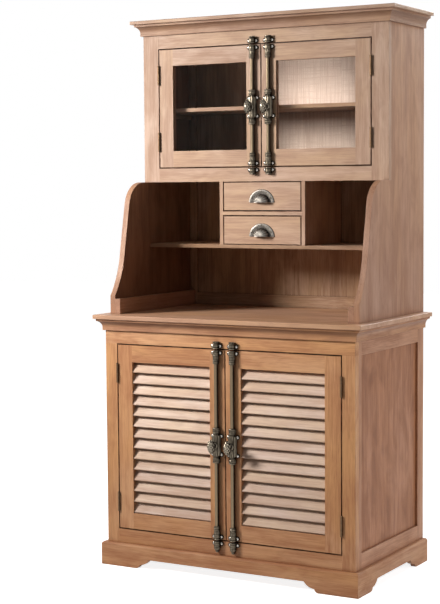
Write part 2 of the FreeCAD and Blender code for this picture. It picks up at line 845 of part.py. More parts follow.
def build_drawer_case():
    """Two dividers between the niche shelf and the cabinet floor, and the board between them."""
    slack = d.glue_gap
    dust_low = niche_shelf_top + drawer_opening
    divider = new_body("drawer_divider")
    outline = [(upper_front, niche_shelf_top), (back_panel_front, niche_shelf_top),
               (back_panel_front, upper_floor_low), (upper_face_back, upper_floor_low),
               (upper_face_back, upper_low), (upper_front, upper_low)]
    extrude(divider, "X", outline, divider_inner, divider_inner + d.divider_thick)
    block(divider, Box(divider_inner, divider_inner + d.dado_depth, upper_front, back_frame_front,
                       dust_low - slack, dust_low + d.dust_board_thick + slack), cut=True)
    node("drawer_dividers", divider, mirrored("drawer_divider_left", divider))
    edge = divider_inner + d.dado_depth - slack
    node("drawer_dust_board", board("drawer_dust_board", Box(
        -edge, edge, upper_front, back_frame_front, dust_low, dust_low + d.dust_board_thick)))


def build_drawer(name, floor):
    """A front, two sides lapped into it, a tail board and a bottom held in grooves."""
    slack = d.glue_gap
    edge = divider_inner - d.drawer_side_gap
    inner = edge - d.drawer_side_thick
    face_back = upper_front + d.drawer_front_thick
    lap = face_back - d.drawer_front_thick / 2
    tail = upper_front + d.drawer_depth
    low = floor + d.runner_gap
    high = low + d.drawer_side_height
    front_low = floor + d.drawer_gap
    bottom_low = low + d.drawer_bottom_rise
    bottom_top = bottom_low + d.drawer_bottom_thick
    channel = Box(inner, inner + d.drawer_groove, lap, tail, bottom_low - slack, bottom_top + slack)
    side = board(f"{name}_side", Box(inner, edge, lap, tail, low, high), cut=[channel])
    laps = [Box(x0, x1, lap - slack, face_back, front_low, high + slack)
            for x0, x1 in ((inner - slack, edge), (-edge, -inner + slack))]
    groove = Box(-inner, inner, face_back - d.drawer_groove, face_back,
                 bottom_low - slack, bottom_top + slack)
    face = board(f"{name}_front",
                 Box(-edge, edge, upper_front, face_back, front_low, floor + drawer_opening - d.drawer_gap),
                 cut=laps + [groove])
    tail_board = board(f"{name}_tail", Box(-inner, inner, tail - d.drawer_side_thick, tail,
                                           bottom_top, high))
    bottom_edge = inner + d.drawer_groove - slack
    bottom = board(f"{name}_bottom", Box(-bottom_edge, bottom_edge, face_back - d.drawer_groove + slack,
                                         tail, bottom_low, bottom_top))
    node(name, face, side, mirrored(f"{name}_left_side", side), tail_board, bottom)
    pull = build_cup_pull(f"{name}_pull")
    node(f"{name}_pull", put(pull, zero, upper_front, floor + drawer_opening / 2 - d.pull_drop))


def half_oval(half_width, height):
    """The corners of a half oval, from its right end over the top to its left end."""
    turns = [math.pi * side / CUP_SIDES for side in range(CUP_SIDES + 1)]
    return [(half_width * math.cos(turn), height * math.sin(turn)) for turn in turns]


def build_cup_pull(name):
    """A hollow half-moon cup, open below, with a thin flange against the drawer front."""
    body = new_body(name)
    across, up, reach = d.pull_half_width, d.pull_height, d.pull_reach
    extrude(body, "Y", half_oval(across, up), -reach, zero)

    def arched(at, plane):
        return near(at.y, plane) and not near(at.z, zero)

    bevel(body, d.pull_bevel, lambda at: arched(at, -reach))
    bevel(body, d.pull_bevel / 2,
           lambda at: arched(at, -reach) or arched(at, d.pull_bevel - reach))
    hollow(body, d.pull_wall, lambda at: near(at.y, zero) or near(at.z, zero))
    rim = half_oval(across + d.pull_flange, up + d.pull_flange) + half_oval(across, up)[::-1]
    extrude(body, "Y", rim, -d.pull_flange_thick, zero)
    return body


# ---------------------------------------------------------------- doors

Door = namedtuple("Door", "name face thick x0 x1 z0 z1 stile rails hinges bolt keeps")


def build_door_frame(door, recess=None, grow=zero):
    """The right-hand door's stiles and rails."""
    return framed(f"{door.name}_frame", "front", (door.x0, door.x1),
                  (door.face, door.face + door.thick), (door.z0, door.z1),
                  (door.stile, door.stile), door.rails, recess=recess, grow=grow)


def tilted(across, along, y, z):
    """A place in a slat's own section, given across its thickness and up along its width."""
    lean = d.slat_tilt
    return (y + across * cosine(lean) + along * sine(lean),
            z + along * cosine(lean) - across * sine(lean))


def slat_outline(y, z):
    """A slat's section, its edges bevelled, the lower edge forward."""
    half_thick = d.slat_thick / 2
    half_width = d.slat_width / 2
    nose = half_thick - d.slat_bevel
    shoulder = half_width - d.slat_bevel
    corners = [(-half_thick, -shoulder), (-nose, -half_width), (nose, -half_width), (half_thick, -shoulder),
               (half_thick, shoulder), (nose, half_width), (-nose, half_width), (-half_thick, shoulder)]
    return [tilted(across, along, y, z) for across, along in corners]


def housing_outline(y, z):
    """The slot that takes a slat's end."""
    half_thick = d.slat_thick / 2 + d.glue_gap
    half_width = d.slat_width / 2 + d.glue_gap
    return [tilted(half_thick * a, half_width * b, y, z) for a, b in ((-1, -1), (1, -1), (1, 1), (-1, 1))]


def build_louvred_door(door):
    members = build_door_frame(door)
    slat_left, slat_right = door.x0 + door.stile, door.x1 - door.stile
    opening = door.z1 - door.z0 - door.rails[0] - door.rails[1]
    pitch = opening / d.louvre_count
    y = door.face + door.thick / 2
    z = door.z0 + door.rails[0] + pitch / 2
    deep = d.slat_housing + d.glue_gap
    for stile, x0, x1 in ((members[0], slat_left - deep, slat_left),
                          (members[1], slat_right, slat_right + deep)):
        slot = extrude(stile, "X", housing_outline(y, z), x0, x1, cut=True)
        repeat(stile, slot, "Z", pitch, d.louvre_count)
    pair(f"{door.name}_frame", *members)
    slats = new_body(f"{door.name}_slats")
    first = extrude(slats, "X", slat_outline(y, z), slat_left - d.slat_housing,
                    slat_right + d.slat_housing)
    repeat(slats, first, "Z", pitch, d.louvre_count)
    pair(f"{door.name}_louvres", slats)


def build_glazed_door(door):
    rebate_front = door.face + d.glass_lip
    door_back = door.face + door.thick
    members = build_door_frame(door, recess=(rebate_front, door_back), grow=d.glass_rebate)
    inner = (door.x0 + door.stile, door.x1 - door.stile,
             door.z0 + door.rails[0], door.z1 - door.rails[1])
    grow = d.glass_rebate - d.glass_gap
    glass_back = rebate_front + d.glass_thick
    pair(f"{door.name}_glass", board(f"{door.name}_pane", Box(
        inner[0] - grow, inner[1] + grow, rebate_front, glass_back, inner[2] - grow, inner[3] + grow)))
    beads = []
    for side, x0, x1 in (("left", inner[0] - grow, inner[0]), ("right", inner[1], inner[1] + grow)):
        beads.append(board(f"{door.name}_{side}_bead", Box(
            x0, x1, glass_back, door_back, inner[2] - grow, inner[3] + grow)))
    for level, z0, z1 in (("bottom", inner[2] - grow, inner[2]), ("top", inner[3], inner[3] + grow)):
        beads.append(board(f"{door.name}_{level}_bead", Box(
            inner[0], inner[1], glass_back, door_back, z0, z1)))
    pair(f"{door.name}_frame", *members, *beads)


# ---------------------------------------------------------------- hinges

def build_hinge(name, door, low):
    """A three-knuckle butt hinge in the gap between door and frame.  The pin is fixed in the
    frame leaf's two knuckles and turns in the door leaf's long one."""
    axis = (door.x1 + d.door_gap / 2, door.face - d.knuckle_radius)
    high = low + d.hinge_height
    third = d.hinge_height / 3
    middle = (low + third, high - third)
    plate_back = door.face + d.leaf_reach
    clear_back = door.face + d.knuckle_gap
    barrel = polygon(*axis, d.knuckle_radius, BARREL_SIDES)
    pin_hole = (d.hinge_pin_radius + d.hinge_pin_gap) / math.cos(math.pi / BARREL_SIDES)
    frame_x = (door.x1 + d.door_gap - d.leaf_thick, door.x1 + d.door_gap)
    frame_leaf = board(f"{name}_frame_leaf", Box(*frame_x, axis[1], plate_back, low, high),
                       cut=[Box(*frame_x, axis[1], clear_back, *middle)])
    for level in (low, high - third):
        extrude(frame_leaf, "Z", barrel, level, level + third)
    extrude(frame_leaf, "Z", Circle(*axis, d.hinge_pin_radius), *middle)
    door_x = (door.x1, door.x1 + d.leaf_thick)
    door_leaf = board(f"{name}_door_leaf", Box(*door_x, axis[1], plate_back, low, high),
                      cut=[Box(*door_x, axis[1], clear_back, low, middle[0] + d.knuckle_gap),
                           Box(*door_x, axis[1], clear_back, middle[1] - d.knuckle_gap, high)])
    knuckle = (middle[0] + d.knuckle_gap, middle[1] - d.knuckle_gap)
    extrude(door_leaf, "Z", barrel, *knuckle)
    extrude(door_leaf, "Z", polygon(*axis, pin_hole, BARREL_SIDES), *knuckle, cut=True)
    return frame_leaf, door_leaf


def build_hinges(doors):
    fixed = []
    for door in doors:
        hung = []
        for place, low in zip(("low", "high"), door.hinges):
            name = f"{door.name}_{place}_hinge"
            frame_leaf, door_leaf = build_hinge(name, door, low)
            fixed += [frame_leaf, mirrored(f"left_{name}_frame_leaf", frame_leaf)]
            hung.append(door_leaf)
        pair(f"{door.name}_hinge_leaves", *hung)
    node("hinge_frame_leaves", *fixed)


# ---------------------------------------------------------------- cremone bolts
# Each piece is drawn about the bolt's own middle: X across, Y from the door's face (outward is
# negative) and Z up.  The rods are drawn about their own axis.

rod_axis = d.rod_radius + d.rod_behind
pitch_radius = d.rod_radius + d.rack_clearance + d.tooth_half_height
gear_pitch = pitch_radius * (2 * math.pi) / d.gear_teeth
rack_root = pitch_radius + d.tooth_half_height + d.tooth_gap
rack_rear = rack_root + d.rack_back
case_depth = rod_axis + d.rod_radius + d.rod_gap + d.case_wall


def add_lugs(body, reach, level):
    """A thin plate flat on the face, wider than the casting, for a screw at each end."""
    low, high = level - d.lug_half_height, level + d.lug_half_height
    shoulder = reach - d.lug_taper
    outline = [(-shoulder, low), (shoulder, low), (reach, level),
               (shoulder, high), (-shoulder, high), (-reach, level)]
    extrude(body, "Y", outline, -d.lug_thick, zero)


def build_staple(name, length, gap):
    """A cast staple that the rod slides through, open at the back against the wood."""
    body = new_body(name)
    low, high = -length / 2, length / 2
    inside = d.rod_radius + gap
    roof = -rod_axis - inside
    outside = inside + d.staple_wall
    crown = roof - d.staple_wall
    shoulder = crown + d.casting_bevel
    flat = outside - d.casting_bevel
    section = [(outside, zero), (-outside, zero), (-outside, shoulder), (-flat, crown),
               (flat, crown), (outside, shoulder)]
    extrude(body, "Z", section, low, high)
    add_lugs(body, d.lug_reach, zero)
    block(body, Box(-inside, inside, roof, zero, low, high), cut=True)
    return body


def build_case(name):
    """A bowed cast case with a neck at each end, open at the back round the pinion and racks."""
    body = new_body(name)
    right = [(d.case_neck_half_width, d.case_half_height), (d.case_neck_half_width, d.case_shoulder),
             (d.case_end_half_width, d.chamber_half_height), (d.case_half_width, d.case_belly)]
    right += [(x, -z) for x, z in reversed(right)]
    left = [(-x, z) for x, z in reversed(right)]
    extrude(body, "Y", left + right, -case_depth, zero)
    bevel(body, d.casting_bevel, lambda at: near(at.y, -case_depth))
    for level in (-d.case_lug_level, d.case_lug_level):
        add_lugs(body, d.case_lug_reach, level)
    channel = d.rod_radius + d.rod_gap
    roof = -rod_axis - channel
    chamber = rack_rear + d.chamber_gap
    block(body, Box(-chamber, chamber, roof, zero, -d.chamber_half_height, d.chamber_half_height), cut=True)
    block(body, Box(-channel, channel, roof, zero, -d.case_half_height, d.case_half_height), cut=True)
    extrude(body, "Y", Circle(zero, zero, d.spindle_hole_radius), -case_depth, roof, cut=True)
    return body


def rack_tooth(level):
    """One rack tooth, from its foot inside the bar to its tip."""
    foot, crest = d.tooth_root_half_width, d.tooth_tip_half_width
    root_x, tip_x = rack_root + d.tooth_gap, pitch_radius - d.tooth_half_height
    return [(root_x, level - foot), (tip_x, level - crest), (tip_x, level + crest), (root_x, level + foot)]


def build_rod(name, reach):
    """A rod, cranked at its foot into a rack beside the pinion."""
    body = new_body(name)
    tip = reach - d.guide_inset - d.rod_tip_inset
    extrude(body, "Z", polygon(zero, zero, d.rod_radius, ROD_SIDES), d.rod_start, tip)
    half_thick = d.rack_thick / 2
    foot_top = d.rod_start + d.rack_foot
    block(body, Box(zero, rack_rear, -half_thick, half_thick, d.rod_start, foot_top))
    block(body, Box(rack_root, rack_rear, -half_thick, half_thick, -d.rack_reach, foot_top))
    first = gear_pitch / 2 - gear_pitch * RACK_TEETH_BELOW
    cog = extrude(body, "Y", rack_tooth(first), -half_thick, half_thick)
    repeat(body, cog, "Z", gear_pitch, as_size(RACK_TEETH_BELOW + RACK_TEETH_ABOVE))
    return body


def pinion_outline():
    """Fourteen teeth, each four corners, one of them pointing straight along X."""
    wheel_root = pitch_radius - d.tooth_half_height - d.tooth_gap
    tip = pitch_radius + d.tooth_half_height
    count = DRIVING_SIZES["gear_teeth"]
    outline = []
    for number in range(count):
        turn = 2 * math.pi * number / count
        along, across = math.cos(turn), math.sin(turn)
        for radius, half_width in ((wheel_root, -d.tooth_root_half_width), (tip, -d.tooth_tip_half_width),
                                   (tip, d.tooth_tip_half_width), (wheel_root, d.tooth_root_half_width)):
            outline.append((radius * along - half_width * across, radius * across + half_width * along))
    return outline


def build_knob(name):
    """The egg-shaped handle, its collar, square spindle and pinion, all in one piece."""
    body = new_body(name)
    middle = d.knob_half_width - d.knob_reach
    tip = d.knob_half_height
    shoulder = tip - d.knob_bevel
    extrude(body, "Z", polygon(zero, middle, d.knob_half_width, KNOB_SIDES), -tip, tip)
    bevel(body, d.knob_bevel, lambda at: near(abs(at.z), tip))
    bevel(body, d.knob_bevel / 2, lambda at: near(abs(at.z), tip) or near(abs(at.z), shoulder))
    collar_back = -case_depth - d.knob_gap
    collar_front = collar_back - d.knob_collar_thick
    extrude(body, "Y", polygon(zero, zero, d.knob_neck_radius, KNOB_SIDES), middle, collar_front)
    extrude(body, "Y", polygon(zero, zero, d.knob_collar_radius, KNOB_SIDES), collar_front, collar_back)
    wheel_back = d.gear_thick / 2 - rod_axis
    wheel_front = wheel_back - d.gear_thick
    half_square = d.spindle_width / 2
    square = rectangle(-half_square, half_square, -half_square, half_square)
    extrude(body, "Y", square, collar_back, wheel_front)
    extrude(body, "Y", pinion_outline(), wheel_front, wheel_back)
    return body


def build_bolts(doors):
    keeps = []
    x = d.bolt_inset
    for door in doors:
        name = door.name
        case = put(build_case(f"{name}_case"), x, door.face, door.bolt)
        centre = d.guide_inset + d.guide_length / 2
        top_guide = put(build_staple(f"{name}_top_guide", d.guide_length, d.rod_gap),
                        x, door.face, door.z1 - centre)
        low_guide = put(build_staple(f"{name}_low_guide", d.guide_length, d.rod_gap),
                        x, door.face, door.z0 + centre)
        pair(f"{name}_bolt_case", case, top_guide, low_guide)
        rod_y = door.face - rod_axis
        top_rod = build_rod(f"{name}_upward_rod", door.z1 - door.bolt)
        low_rod = build_rod(f"{name}_downward_rod", door.bolt - door.z0)
        pair(f"{name}_top_rod", put(top_rod, x, rod_y, door.bolt))
        pair(f"{name}_bottom_rod", put(low_rod, x, rod_y, door.bolt, upside_down=True))
        pair(f"{name}_knob", put(build_knob(f"{name}_handle"), x, door.face, door.bolt))
        top_length, low_length = door.keeps
        top_z = door.z1 + d.door_gap + d.keep_inset + top_length / 2
        low_z = door.z0 - d.door_gap - d.keep_inset - low_length / 2
        for place, length, z in (("top", top_length, top_z), ("low", low_length, low_z)):
            keep = put(build_staple(f"{name}_{place}_keep", length, d.keep_gap), x, door.face, z)
            keeps += [keep, mirrored(f"{name}_left_{place}_keep", keep)]
    node("bolt_keeps", *keeps)


# ---------------------------------------------------------------- assembly

build_plinth()
build_base()
build_moulding("base_moulding", front, worktop_low - d.base_moulding_height, d.base_moulding_height)
build_hutch()
build_moulding("crown_moulding", upper_front, cap_low - d.crown_height, d.crown_height)
build_shelves()
build_drawer_case()
build_drawer("drawer_bottom", niche_shelf_top)
build_drawer("drawer_top", niche_shelf_top + drawer_opening + d.dust_board_thick)

lower_z = (base_opening_low + d.door_gap, base_opening_top - d.door_gap)
upper_z = (upper_opening_low + d.door_gap, upper_opening_top - d.door_gap)
lower_door = Door(
    name="lower_door", face=front, thick=d.face_thick - d.stop_gap,
    x0=d.meeting_gap / 2, x1=base_opening_half - d.door_gap, z0=lower_z[0], z1=lower_z[1],
    stile=d.lower_door_stile, rails=(d.lower_door_bottom_rail, d.lower_door_top_rail),
    hinges=(lower_z[0] + d.lower_hinge_low_inset, lower_z[1] - d.lower_hinge_top_inset - d.hinge_height),
    bolt=(lower_z[0] + lower_z[1]) / 2, keeps=(d.keep_length, d.floor_keep_length))
upper_door = Door(
    name="upper_door", face=upper_front, thick=d.upper_face_thick - d.stop_gap,
    x0=d.meeting_gap / 2, x1=upper_opening_half - d.door_gap, z0=upper_z[0], z1=upper_z[1],
    stile=d.upper_door_stile, rails=(d.upper_door_rail, d.upper_door_rail),
    hinges=(upper_z[0] + d.upper_hinge_inset, upper_z[1] - d.upper_hinge_inset - d.hinge_height),
    bolt=(upper_z[0] + upper_z[1]) / 2 - d.upper_bolt_drop, keeps=(d.keep_length, d.keep_length))
build_louvred_door(lower_door)
build_glazed_door(upper_door)
build_hinges((lower_door, upper_door))
build_bolts((lower_door, upper_door))

doc.recompute()
for item in doc.Objects:
    if "Invalid" in item.State or "Error" in item.State:
        raise RuntimeError(f"{item.Label} did not build: {item.State}")
os.makedirs("parts", exist_ok=True)
for name, item in nodes.items():
    shape = item.Shape
    if shape.isNull() or not shape.isValid() or shape.Volume <= 0:
        raise RuntimeError(f"{name} has no sound shape")
    shape.exportStep(f"parts/{name}.step")
    box = shape.BoundBox
    print(f"{name}: {len(shape.Solids)} solids, x {box.XMin:.1f} to {box.XMax:.1f}, "
          f"y {box.YMin:.1f} to {box.YMax:.1f}, z {box.ZMin:.1f} to {box.ZMax:.1f}")
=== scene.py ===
import bmesh
import bpy
import math
from mathutils import Matrix, Vector


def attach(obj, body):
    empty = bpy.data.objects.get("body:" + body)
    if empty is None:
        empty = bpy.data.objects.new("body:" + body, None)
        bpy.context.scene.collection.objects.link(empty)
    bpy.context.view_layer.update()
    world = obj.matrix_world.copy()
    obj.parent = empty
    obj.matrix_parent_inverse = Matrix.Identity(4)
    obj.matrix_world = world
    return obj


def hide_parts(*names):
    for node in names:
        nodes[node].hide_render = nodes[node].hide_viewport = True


# The looks of the step back cupboard: a material for each board, following its own grain, and
# smooth, ornamented castings for the bolts, pulls and hinges.  Metres, in the row frame: X to
# the viewer's right, Y from front to back, Z up.  The small castings are drawn in millimetres,
# as (across, out from the wood, up) about their own middle.

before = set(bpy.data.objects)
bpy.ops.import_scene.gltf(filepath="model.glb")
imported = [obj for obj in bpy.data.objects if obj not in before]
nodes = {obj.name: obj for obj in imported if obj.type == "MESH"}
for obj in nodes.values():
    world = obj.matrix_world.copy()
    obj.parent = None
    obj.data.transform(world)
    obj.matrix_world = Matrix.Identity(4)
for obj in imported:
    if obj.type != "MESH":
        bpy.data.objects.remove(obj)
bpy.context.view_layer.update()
scene = bpy.context.scene

MM = 1000                       # to the metre
SIDES = (("right", 1), ("left", -1))
HALF_WIDTH = 0.525              # of the carcass, without its mouldings
LOWER_FACE = -0.278             # front plane of the base
UPPER_FACE = 0.012              # front plane of the cabinet and the drawers
# Each pair of doors: its front plane, its low and high end, the middle of its bolts, the lengths
# of their low and high keep in mm, its hinges' axis on either side, and their low ends.
DOORS = {
    "lower_door": dict(face=LOWER_FACE, ends=(0.146, 0.854), bolt=0.500, keeps=(42, 26),
                       hinge_axis=0.4715, hinges=(0.211, 0.708)),
    "upper_door": dict(face=UPPER_FACE, ends=(1.527, 1.986), bolt=1.7505, keeps=(26, 26),
                       hinge_axis=0.4545, hinges=(1.589, 1.849)),
}


# ---------------------------------------------------------------- camera

# As fitted to the photograph: its place, how it is turned, and its focal length in pixels.
CAMERA_AT = (2.7909, -5.1573, 1.4519)
YAW, PITCH, ROLL = 0.5225, -0.0748, -0.0074
FOCAL_LENGTH = 1542.05
PHOTO_WIDTH = 440


def place_camera():
    ahead = Vector((-math.sin(YAW) * math.cos(PITCH), math.cos(YAW) * math.cos(PITCH), math.sin(PITCH)))
    level = Vector((math.cos(YAW), math.sin(YAW), 0))
    up = level.cross(ahead)
    right = level * math.cos(ROLL) + up * math.sin(ROLL)
    over = up * math.cos(ROLL) - level * math.sin(ROLL)
    turn = Matrix((right, over, -ahead)).transposed().to_4x4()
    data = bpy.data.cameras.new("camera")
    data.sensor_fit = "HORIZONTAL"
    data.sensor_width = 36.0
    data.lens = FOCAL_LENGTH * data.sensor_width / PHOTO_WIDTH
    camera = bpy.data.objects.new("camera", data)
    camera.matrix_world = Matrix.Translation(CAMERA_AT) @ turn
    scene.collection.objects.link(camera)
    scene.camera = camera


# ---------------------------------------------------------------- node helpers

WHITE = (1.0, 1.0, 1.0, 1.0)


class Graph:
    """The node tree of a new material or world, with short names for the nodes used here."""

    def __init__(self, owner, shader="Principled BSDF", output="Material Output"):
        owner.use_nodes = True
        self.owner = owner
        self.tree = owner.node_tree
        self.shader = self.tree.nodes[shader]
        self.output = self.tree.nodes[output]

    def add(self, kind, inputs=(), **settings):
        node = self.tree.nodes.new(kind)
        for key, value in settings.items():
            setattr(node, key, value)
        for key, value in dict(inputs).items():
            self.put(node.inputs[key], value)
        return node

    def put(self, socket, value):
        if isinstance(value, bpy.types.NodeSocket):
            self.tree.links.new(value, socket)
        else:
            socket.default_value = value

    def shade(self, inputs):
        """Sets or links the shader's own inputs."""
        for name, value in inputs.items():
            self.put(self.shader.inputs[name], value)

    def math(self, operation, *values, clamp=False):
        node = self.add("ShaderNodeMath", operation=operation, use_clamp=clamp)
        for socket, value in zip(node.inputs, values):
            self.put(socket, value)
        return node.outputs[0]

    def total(self, *weighted):
        """The sum of (weight, value) pairs."""
        found = 0.0
        for weight, value in weighted:
            found = self.math("MULTIPLY_ADD", value, weight, found)
        return found

    def vector(self, x, y, z):
        return self.add("ShaderNodeCombineXYZ", {"X": x, "Y": y, "Z": z}).outputs[0]

    def move(self, operation, first, second):
        return self.add("ShaderNodeVectorMath", {0: first, 1: second}, operation=operation).outputs[0]

    def mix(self, factor, first, second, kind="RGBA"):
        node = self.add("ShaderNodeMix", data_type=kind)
        place = {"FLOAT": 2, "VECTOR": 4, "RGBA": 6}[kind]
        self.put(node.inputs[0], factor)
        self.put(node.inputs[place], first)
        self.put(node.inputs[place + 1], second)
        return node.outputs[place // 2 - 1]

    def noise(self, vector, scale, detail, roughness=0.5, distortion=0.0):
        node = self.add("ShaderNodeTexNoise", {
            "Vector": vector, "Scale": scale, "Detail": detail, "Roughness": roughness,
            "Distortion": distortion})
        return node.outputs["Fac"]

    def stretch(self, value, low, high, to_low=0.0, to_high=1.0):
        """Eases from to_low to to_high as the value goes from low to high, and stays there beyond."""
        node = self.add("ShaderNodeMapRange", {
            "Value": value, "From Min": low, "From Max": high, "To Min": to_low, "To Max": to_high},
            interpolation_type="SMOOTHSTEP")
        return node.outputs["Result"]

    def place(self):
        """The three coordinates of the point in the part's own frame."""
        where = self.add("ShaderNodeTexCoord").outputs["Object"]
        return self.add("ShaderNodeSeparateXYZ", {0: where}).outputs

    def normal(self):
        """The three parts of the surface's direction in the part's own frame."""
        facing = self.add("ShaderNodeTexCoord").outputs["Normal"]
        return self.add("ShaderNodeSeparateXYZ", {0: facing}).outputs

    def open_sky(self, reach, samples):
        """How open the surroundings are within reach: low in a corner."""
        return self.add("ShaderNodeAmbientOcclusion", {"Distance": reach}, samples=samples).outputs["AO"]

    def rounded(self, radius):
        """The surface's direction with its edges rounded."""
        return self.add("ShaderNodeBevel", {"Radius": radius}, samples=4).outputs[0]

    def bump(self, height, normal, strength, distance):
        return self.add("ShaderNodeBump", {"Height": height, "Normal": normal, "Strength": strength,
                                           "Distance": distance}).outputs[0]

    def seen(self):
        """1 for what is seen directly, in a reflection or through glass, and 0 for what only lights."""
        path = self.add("ShaderNodeLightPath").outputs
        found = self.math("MAXIMUM", path["Is Camera Ray"], path["Is Glossy Ray"])
        return self.math("MAXIMUM", found, path["Is Transmission Ray"])


def srgb(red, green, blue):
    """A shader colour from 0 to 255 screen values."""
    levels = [value / 255 for value in (red, green, blue)]
    return [v / 12.92 if v <= 0.04045 else ((v + 0.055) / 1.055) ** 2.4 for v in levels] + [1.0]


def tinted(colour, *by):
    """A shader colour with its red, green and blue multiplied."""
    return [level * share for level, share in zip(colour, by)] + [1.0]


# ---------------------------------------------------------------- wood

GRAIN_ORDER = {"X": (0, 1, 2), "Y": (1, 0, 2), "Z": (2, 0, 1)}
BOARD_SHIFT = (1.37, 0.71, 0.53)    # how far the figure moves for each step in a board's number
CORNER_REACH = 0.022                # how far out of a corner old stain and painted shade reach
EDGE_RADIUS = 0.0018                # of a rubbed edge
GAP_SHADE_REACH = (0.0036, 0.0018)        # how far off a gap its painted shade begins, and is full
HELD_AND_SHADED, SMUDGED, PORED = 0.86, 0.20, 0.16     # how dark the old glaze and painted shade lie in corners, and the old glaze in smudges and pores
# the colours of the painted shade on the faces inside
INSIDE_SHADE_LIGHT, INSIDE_SHADE_DARK = srgb(142, 104, 78), srgb(98, 67, 47)
# the colour of the painted shade towards the bottom, and how much of it at the lowest
LOW_SHADE, DEEPEST_LOW_SHADE = srgb(110, 58, 34), 0.25
# the colour of the painted shade along the gaps
GAP_SHADE = srgb(60, 31, 18)
LIME, LIME_SCRUBBED, LIME_GRAIN = srgb(240, 222, 208), srgb(200, 172, 152), srgb(200, 160, 132)


def along_board(g, place, axis):
    """Coordinates of a board whose grain runs along an axis: first along, then across."""
    return g.vector(*(place[i] for i in GRAIN_ORDER[axis]))


def wood(name, light, dark, grain="X", cross=None, member=None, board=None, crossed=None,
         mottle=0.24, roughness=0.5, sheen=0.35, wear=0.5, washed=None, inner=None, gaps=None,
         deeper=None, under=0.0):
    """Stained and rubbed hardwood.  cross is the grain axis where member(g, place) is 1, such as a
    frame's stiles.  board(g, place) numbers the boards, so that each has a figure of its own, and
    crossed does so where member is 1.  washed(g, place) is 1 where the wood is limed, paler and
    cross-hatched by the scrub, and inner(g, place) is 1 on the faces darkened as a painted shade.
    gaps(g, place) is how far off the nearest gap is, whose edges are darkened and dulled as a painted
    shade, and the wood darkens between the two heights of deeper, a painted shade towards the bottom.
    under is how much painted shade lies on what faces down, mottle how blotchy the stain is, and wear
    how bare the edges are rubbed."""
    g = Graph(bpy.data.materials.new(name))
    place = g.place()
    point = along_board(g, place, grain)
    shift = board(g, place) if board else 0.0
    if member:
        mask = member(g, place)
        point = g.mix(mask, point, along_board(g, place, cross), "VECTOR")
        shift = g.mix(mask, shift, crossed(g, place), "FLOAT")
    if board or member:
        point = g.move("ADD", point, g.vector(*(g.math("MULTIPLY", shift, by) for by in BOARD_SHIFT)))

    def figure(along, across, low, high, *how):
        """Noise drawn out along the grain, by its frequencies along and across it."""
        drawn = g.move("MULTIPLY", point, (along, across, across))
        return g.stretch(g.noise(drawn, 1.0, *how), low, high)

    stain = figure(4.5, 13.0, 0.32, 0.68, 3.0, 0.55, 0.7)
    cloud = figure(1.6, 24.0, 0.30, 0.70, 3.0, 0.55, 0.4)
    streak = figure(2.4, 75.0, 0.30, 0.70, 4.0, 0.62)
    fine = figure(9.0, 330.0, 0.28, 0.72, 3.0, 0.6)
    fibre = figure(26.0, 1100.0, 0.30, 0.70, 2.0, 0.6)
    pore = figure(34.0, 1300.0, 0.60, 0.75, 2.0)
    smudge = figure(6.0, 24.0, 0.56, 0.76, 4.0, 0.6, 0.9)
    warmth = figure(2.1, 5.0, 0.34, 0.66, 2.0, 0.5, 0.6)

    parts = ((mottle, stain), (0.13, cloud), (0.15, streak), (0.20, fine), (0.16, fibre))
    whole = sum(weight for weight, _ in parts)
    tone = g.stretch(g.math("DIVIDE", g.total(*parts), whole, clamp=True), 0.12, 0.88)
    # the colour of old glaze, and of the painted shade in corners and on what faces down
    glaze_and_shade = tinted(dark, 0.42, 0.34, 0.28)
    gold = tinted(light, 0.97, 0.91, 0.74)
    colour = g.mix(tone, g.mix(warmth, light, gold), dark)
    # painted shade: the faces inside are darker
    if inner:
        colour = g.mix(inner(g, place), colour, g.mix(tone, INSIDE_SHADE_LIGHT, INSIDE_SHADE_DARK))
    # painted shade: darker towards the bottom
    if deeper:
        colour = g.mix(g.stretch(place[2], *deeper, 0.0, DEEPEST_LOW_SHADE), colour, LOW_SHADE)
    # painted shade on what faces down
    if under:
        colour = g.mix(g.stretch(g.normal()[2], 0.05, -0.75, 0.0, under), colour, glaze_and_shade)
    for mark, share in ((smudge, SMUDGED), (pore, PORED)):
        colour = g.mix(g.math("MULTIPLY", mark, share), colour, glaze_and_shade)
    # a pale lime; its mask also paints light and shade on the cabinet's back
    if washed:
        up = figure(7.0, 330.0, 0.40, 0.66, 3.0)
        level = figure(420.0, 8.0, 0.44, 0.70, 3.0)
        scrub = g.math("MULTIPLY", g.math("MAXIMUM", up, level), 0.55)
        pale = g.mix(g.math("MULTIPLY", tone, 0.15), g.mix(scrub, LIME, LIME_SCRUBBED), LIME_GRAIN)
        colour = g.mix(washed(g, place), colour, pale)

    # old wax and stain left in the corners, with a painted shade there, and edges rubbed bare
    corner = g.open_sky(CORNER_REACH, 5)
    colour = g.mix(g.math("MULTIPLY", g.stretch(corner, 0.76, 0.26), HELD_AND_SHADED), colour, glaze_and_shade)
    rounded = g.rounded(EDGE_RADIUS)
    flat = g.add("ShaderNodeNewGeometry").outputs["Normal"]
    turn = g.add("ShaderNodeVectorMath", {0: rounded, 1: flat}, operation="DOT_PRODUCT")
    edge = g.stretch(turn.outputs["Value"], 0.995, 0.80)
    here = g.vector(*place)
    rubbed = g.stretch(g.noise(here, 60.0, 3.0), 0.36, 0.60)
    edge = g.math("MULTIPLY", g.math("MULTIPLY", edge, rubbed), wear)
    bare = [min(level * 1.15, 0.9) for level in light[:3]] + [1.0]
    colour = g.mix(g.math("MULTIPLY", edge, g.stretch(corner, 0.35, 0.75)), colour, bare)

    height = g.total((0.5, fibre), (0.5, fine), (-1.0, pore))
    g.shade({"Roughness": g.stretch(tone, 0.0, 1.0, roughness - 0.05, roughness + 0.10),
             "Normal": g.bump(height, rounded, 0.20, 0.0004)})
    gloss = sheen
